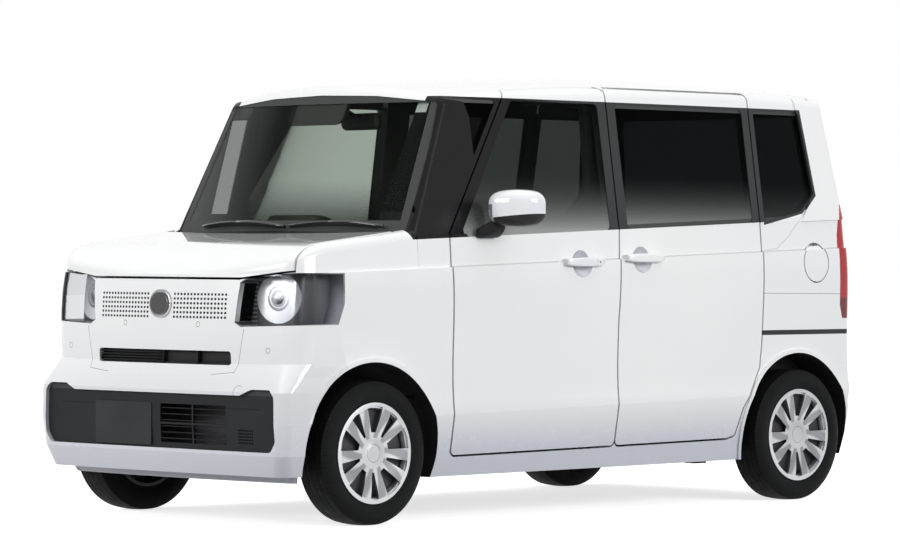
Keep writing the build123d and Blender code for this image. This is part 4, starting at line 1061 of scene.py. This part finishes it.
def bake(obj):
    """Applies the object's modifiers to its mesh."""
    shown = obj.evaluated_get(bpy.context.evaluated_depsgraph_get())
    mesh = bpy.data.meshes.new_from_object(shown)
    obj.modifiers.clear()
    obj.data = mesh


def draw_in(mesh, depth_at):
    """Moves each point of a mesh inwards, by the depth that depth_at gives for it."""
    for vertex, normal in zip(mesh.vertices, [v.normal.copy() for v in mesh.vertices]):
        vertex.co = vertex.co - normal * depth_at(vertex.co)


def blow_up(made):
    """Cloth under pressure, with no gravity; no point moves further than the cap."""
    start = [v.co.copy() for v in made.data.vertices]
    cloth = made.modifiers.new("cloth", "CLOTH")
    cloth.settings.use_pressure = True
    cloth.settings.uniform_pressure_force = PRESSURE
    cloth.settings.effector_weights.gravity = 0
    cloth.point_cache.frame_start, cloth.point_cache.frame_end = 1, LAST_FRAME
    for step in range(1, LAST_FRAME + 1):
        scene.frame_set(step)
        made.evaluated_get(bpy.context.evaluated_depsgraph_get())
    bake(made)
    scene.frame_set(1)
    for vertex, begin in zip(made.data.vertices, start):
        moved = vertex.co - begin
        if moved.length > SWELL_CAP:
            vertex.co = begin + moved * (SWELL_CAP / moved.length)


def seam_depth(point, seams):
    return SEAM_DEPTH * math.exp(-(seam_distance(point.x, seams) / SEAM_WIDTH) ** 2)


def stuffed(node, name, material, seams):
    """The seats of one row as padded cloth: blown up, then drawn in along their sewn channels.
    """
    made = bpy.data.objects.new(name, nodes[node].data.copy())
    scene.collection.objects.link(made)
    remesh = made.modifiers.new("remesh", "REMESH")
    remesh.mode = "VOXEL"
    remesh.voxel_size = VOXEL
    bake(made)
    draw_in(made.data, lambda point: SHRINK)
    blow_up(made)
    made.modifiers.new("smooth", "SUBSURF").levels = 1
    bake(made)
    draw_in(made.data, lambda point: seam_depth(point, seams))
    made.data.materials.clear()
    made.data.materials.append(material)
    for face in made.data.polygons:
        face.use_smooth = True
    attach(made, "car")
    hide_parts(node)


stuffed("front_seats", "front_seat_pads", front_cloth, FRONT_SEAT_SEAMS)
stuffed("rear_seats", "rear_seat_pads", rear_cloth, REAR_SEAT_SEAMS)

# ---------------------------------------------------------------- studio

WHITE = rgb(1, 1, 1)
FLOOR_HALF = 60
FLOOR_GLOW = 0.72
WORLD_LIGHT = 0.49

LIGHTS = (
    # name, place, aim, width, height, watts
    ("overhead light", (0.5, -0.5, 6.0), (0, 0, 0.8), 7, 6, 105),
    ("nose light", (-1.5, -8.5, 3.0), (0, -1.2, 0.9), 5, 2.4, 385),
    ("side light", (8.5, 0.5, 3.2), (0, 0.3, 0.9), 6, 2.4, 450),
)


def seen_rays(g):
    """1 for a ray from the camera, off gloss or through glass; 0 for light that falls on the car."""
    rays = g.node("ShaderNodeLightPath").outputs
    camera, glossy, through = (Value(g, rays[f"Is {kind} Ray"])
                               for kind in ("Camera", "Glossy", "Transmission"))
    return camera | glossy | through


def floor_finish():
    """Pale floor: white with the car's shadow to the eye, and a plain grey in the light it throws back."""
    g = Graph("pale floor")
    pale = g.shader("BsdfDiffuse", Color=rgb(0.80, 0.80, 0.80))
    glow = g.shader("Emission", Color=WHITE, Strength=FLOOR_GLOW)
    shown = g.node("ShaderNodeAddShader", None, {0: pale, 1: glow}).outputs[0]
    plain_grey = g.mix(g.noise(0.6, 2.0), rgb(0.075, 0.080, 0.096), rgb(0.085, 0.090, 0.106))
    return g.finish(g.blend(seen_rays(g), g.shader("BsdfDiffuse", Color=plain_grey), shown))


def floor_sheet():
    """The floor under the car, which reaches far past it on every side."""
    mesh = bpy.data.meshes.new("floor")
    corners = [(x * FLOOR_HALF, y * FLOOR_HALF, 0) for x, y in ((-1, -1), (1, -1), (1, 1), (-1, 1))]
    mesh.from_pydata(corners, [], [(0, 1, 2, 3)])
    mesh.materials.append(floor_finish())
    made = bpy.data.objects.new("floor", mesh)
    scene.collection.objects.link(made)


def area_light(name, where, aim, width, height, watts):
    data = bpy.data.lights.new(name, "AREA")
    data.shape = "RECTANGLE"
    data.size, data.size_y = width, height
    data.energy = watts
    lamp = bpy.data.objects.new(name, data)
    lamp.location = where
    lamp.rotation_mode = "QUATERNION"
    lamp.rotation_quaternion = (Vector(aim) - Vector(where)).to_track_quat("-Z", "Y")
    scene.collection.objects.link(lamp)


def studio_world():
    """White to the eye, in gloss and through glass; a softer white as the light that falls on the car."""
    g = Graph("studio", "worlds")
    falling = g.shader("Background", Color=rgb(0.985, 0.992, 1.0), Strength=WORLD_LIGHT)
    seen = g.shader("Background", Color=WHITE, Strength=1.0)
    scene.world = g.finish(g.blend(seen_rays(g), falling, seen), "ShaderNodeOutputWorld")


floor_sheet()
for light in LIGHTS:
    area_light(*light)
studio_world()
scene.view_settings.view_transform = "Standard"

# ---------------------------------------------------------------- camera

CAMERA_PLACE = Vector((12.109, -12.310, 1.058))
CAMERA_LENS = 166.2
CAMERA_FAR = 200

azimuth, elevation, roll = (math.radians(angle) for angle in (44.699, 0.414, 0.254))
back = Vector((math.sin(azimuth) * math.cos(elevation), -math.cos(azimuth) * math.cos(elevation),
               math.sin(elevation)))
level = Vector((math.cos(azimuth), math.sin(azimuth), 0))
above = back.cross(level)
right = level * math.cos(roll) + above * math.sin(roll)
above = above * math.cos(roll) - level * math.sin(roll)
camera_data = bpy.data.cameras.new("camera")
camera_data.sensor_width = 36.0
camera_data.lens = CAMERA_LENS
camera_data.dof.use_dof = False
camera_data.clip_end = CAMERA_FAR
camera = bpy.data.objects.new("camera", camera_data)
camera.matrix_world = Matrix.Translation(CAMERA_PLACE) @ Matrix((right, above, back)).transposed().to_4x4()
scene.collection.objects.link(camera)
scene.camera = camera
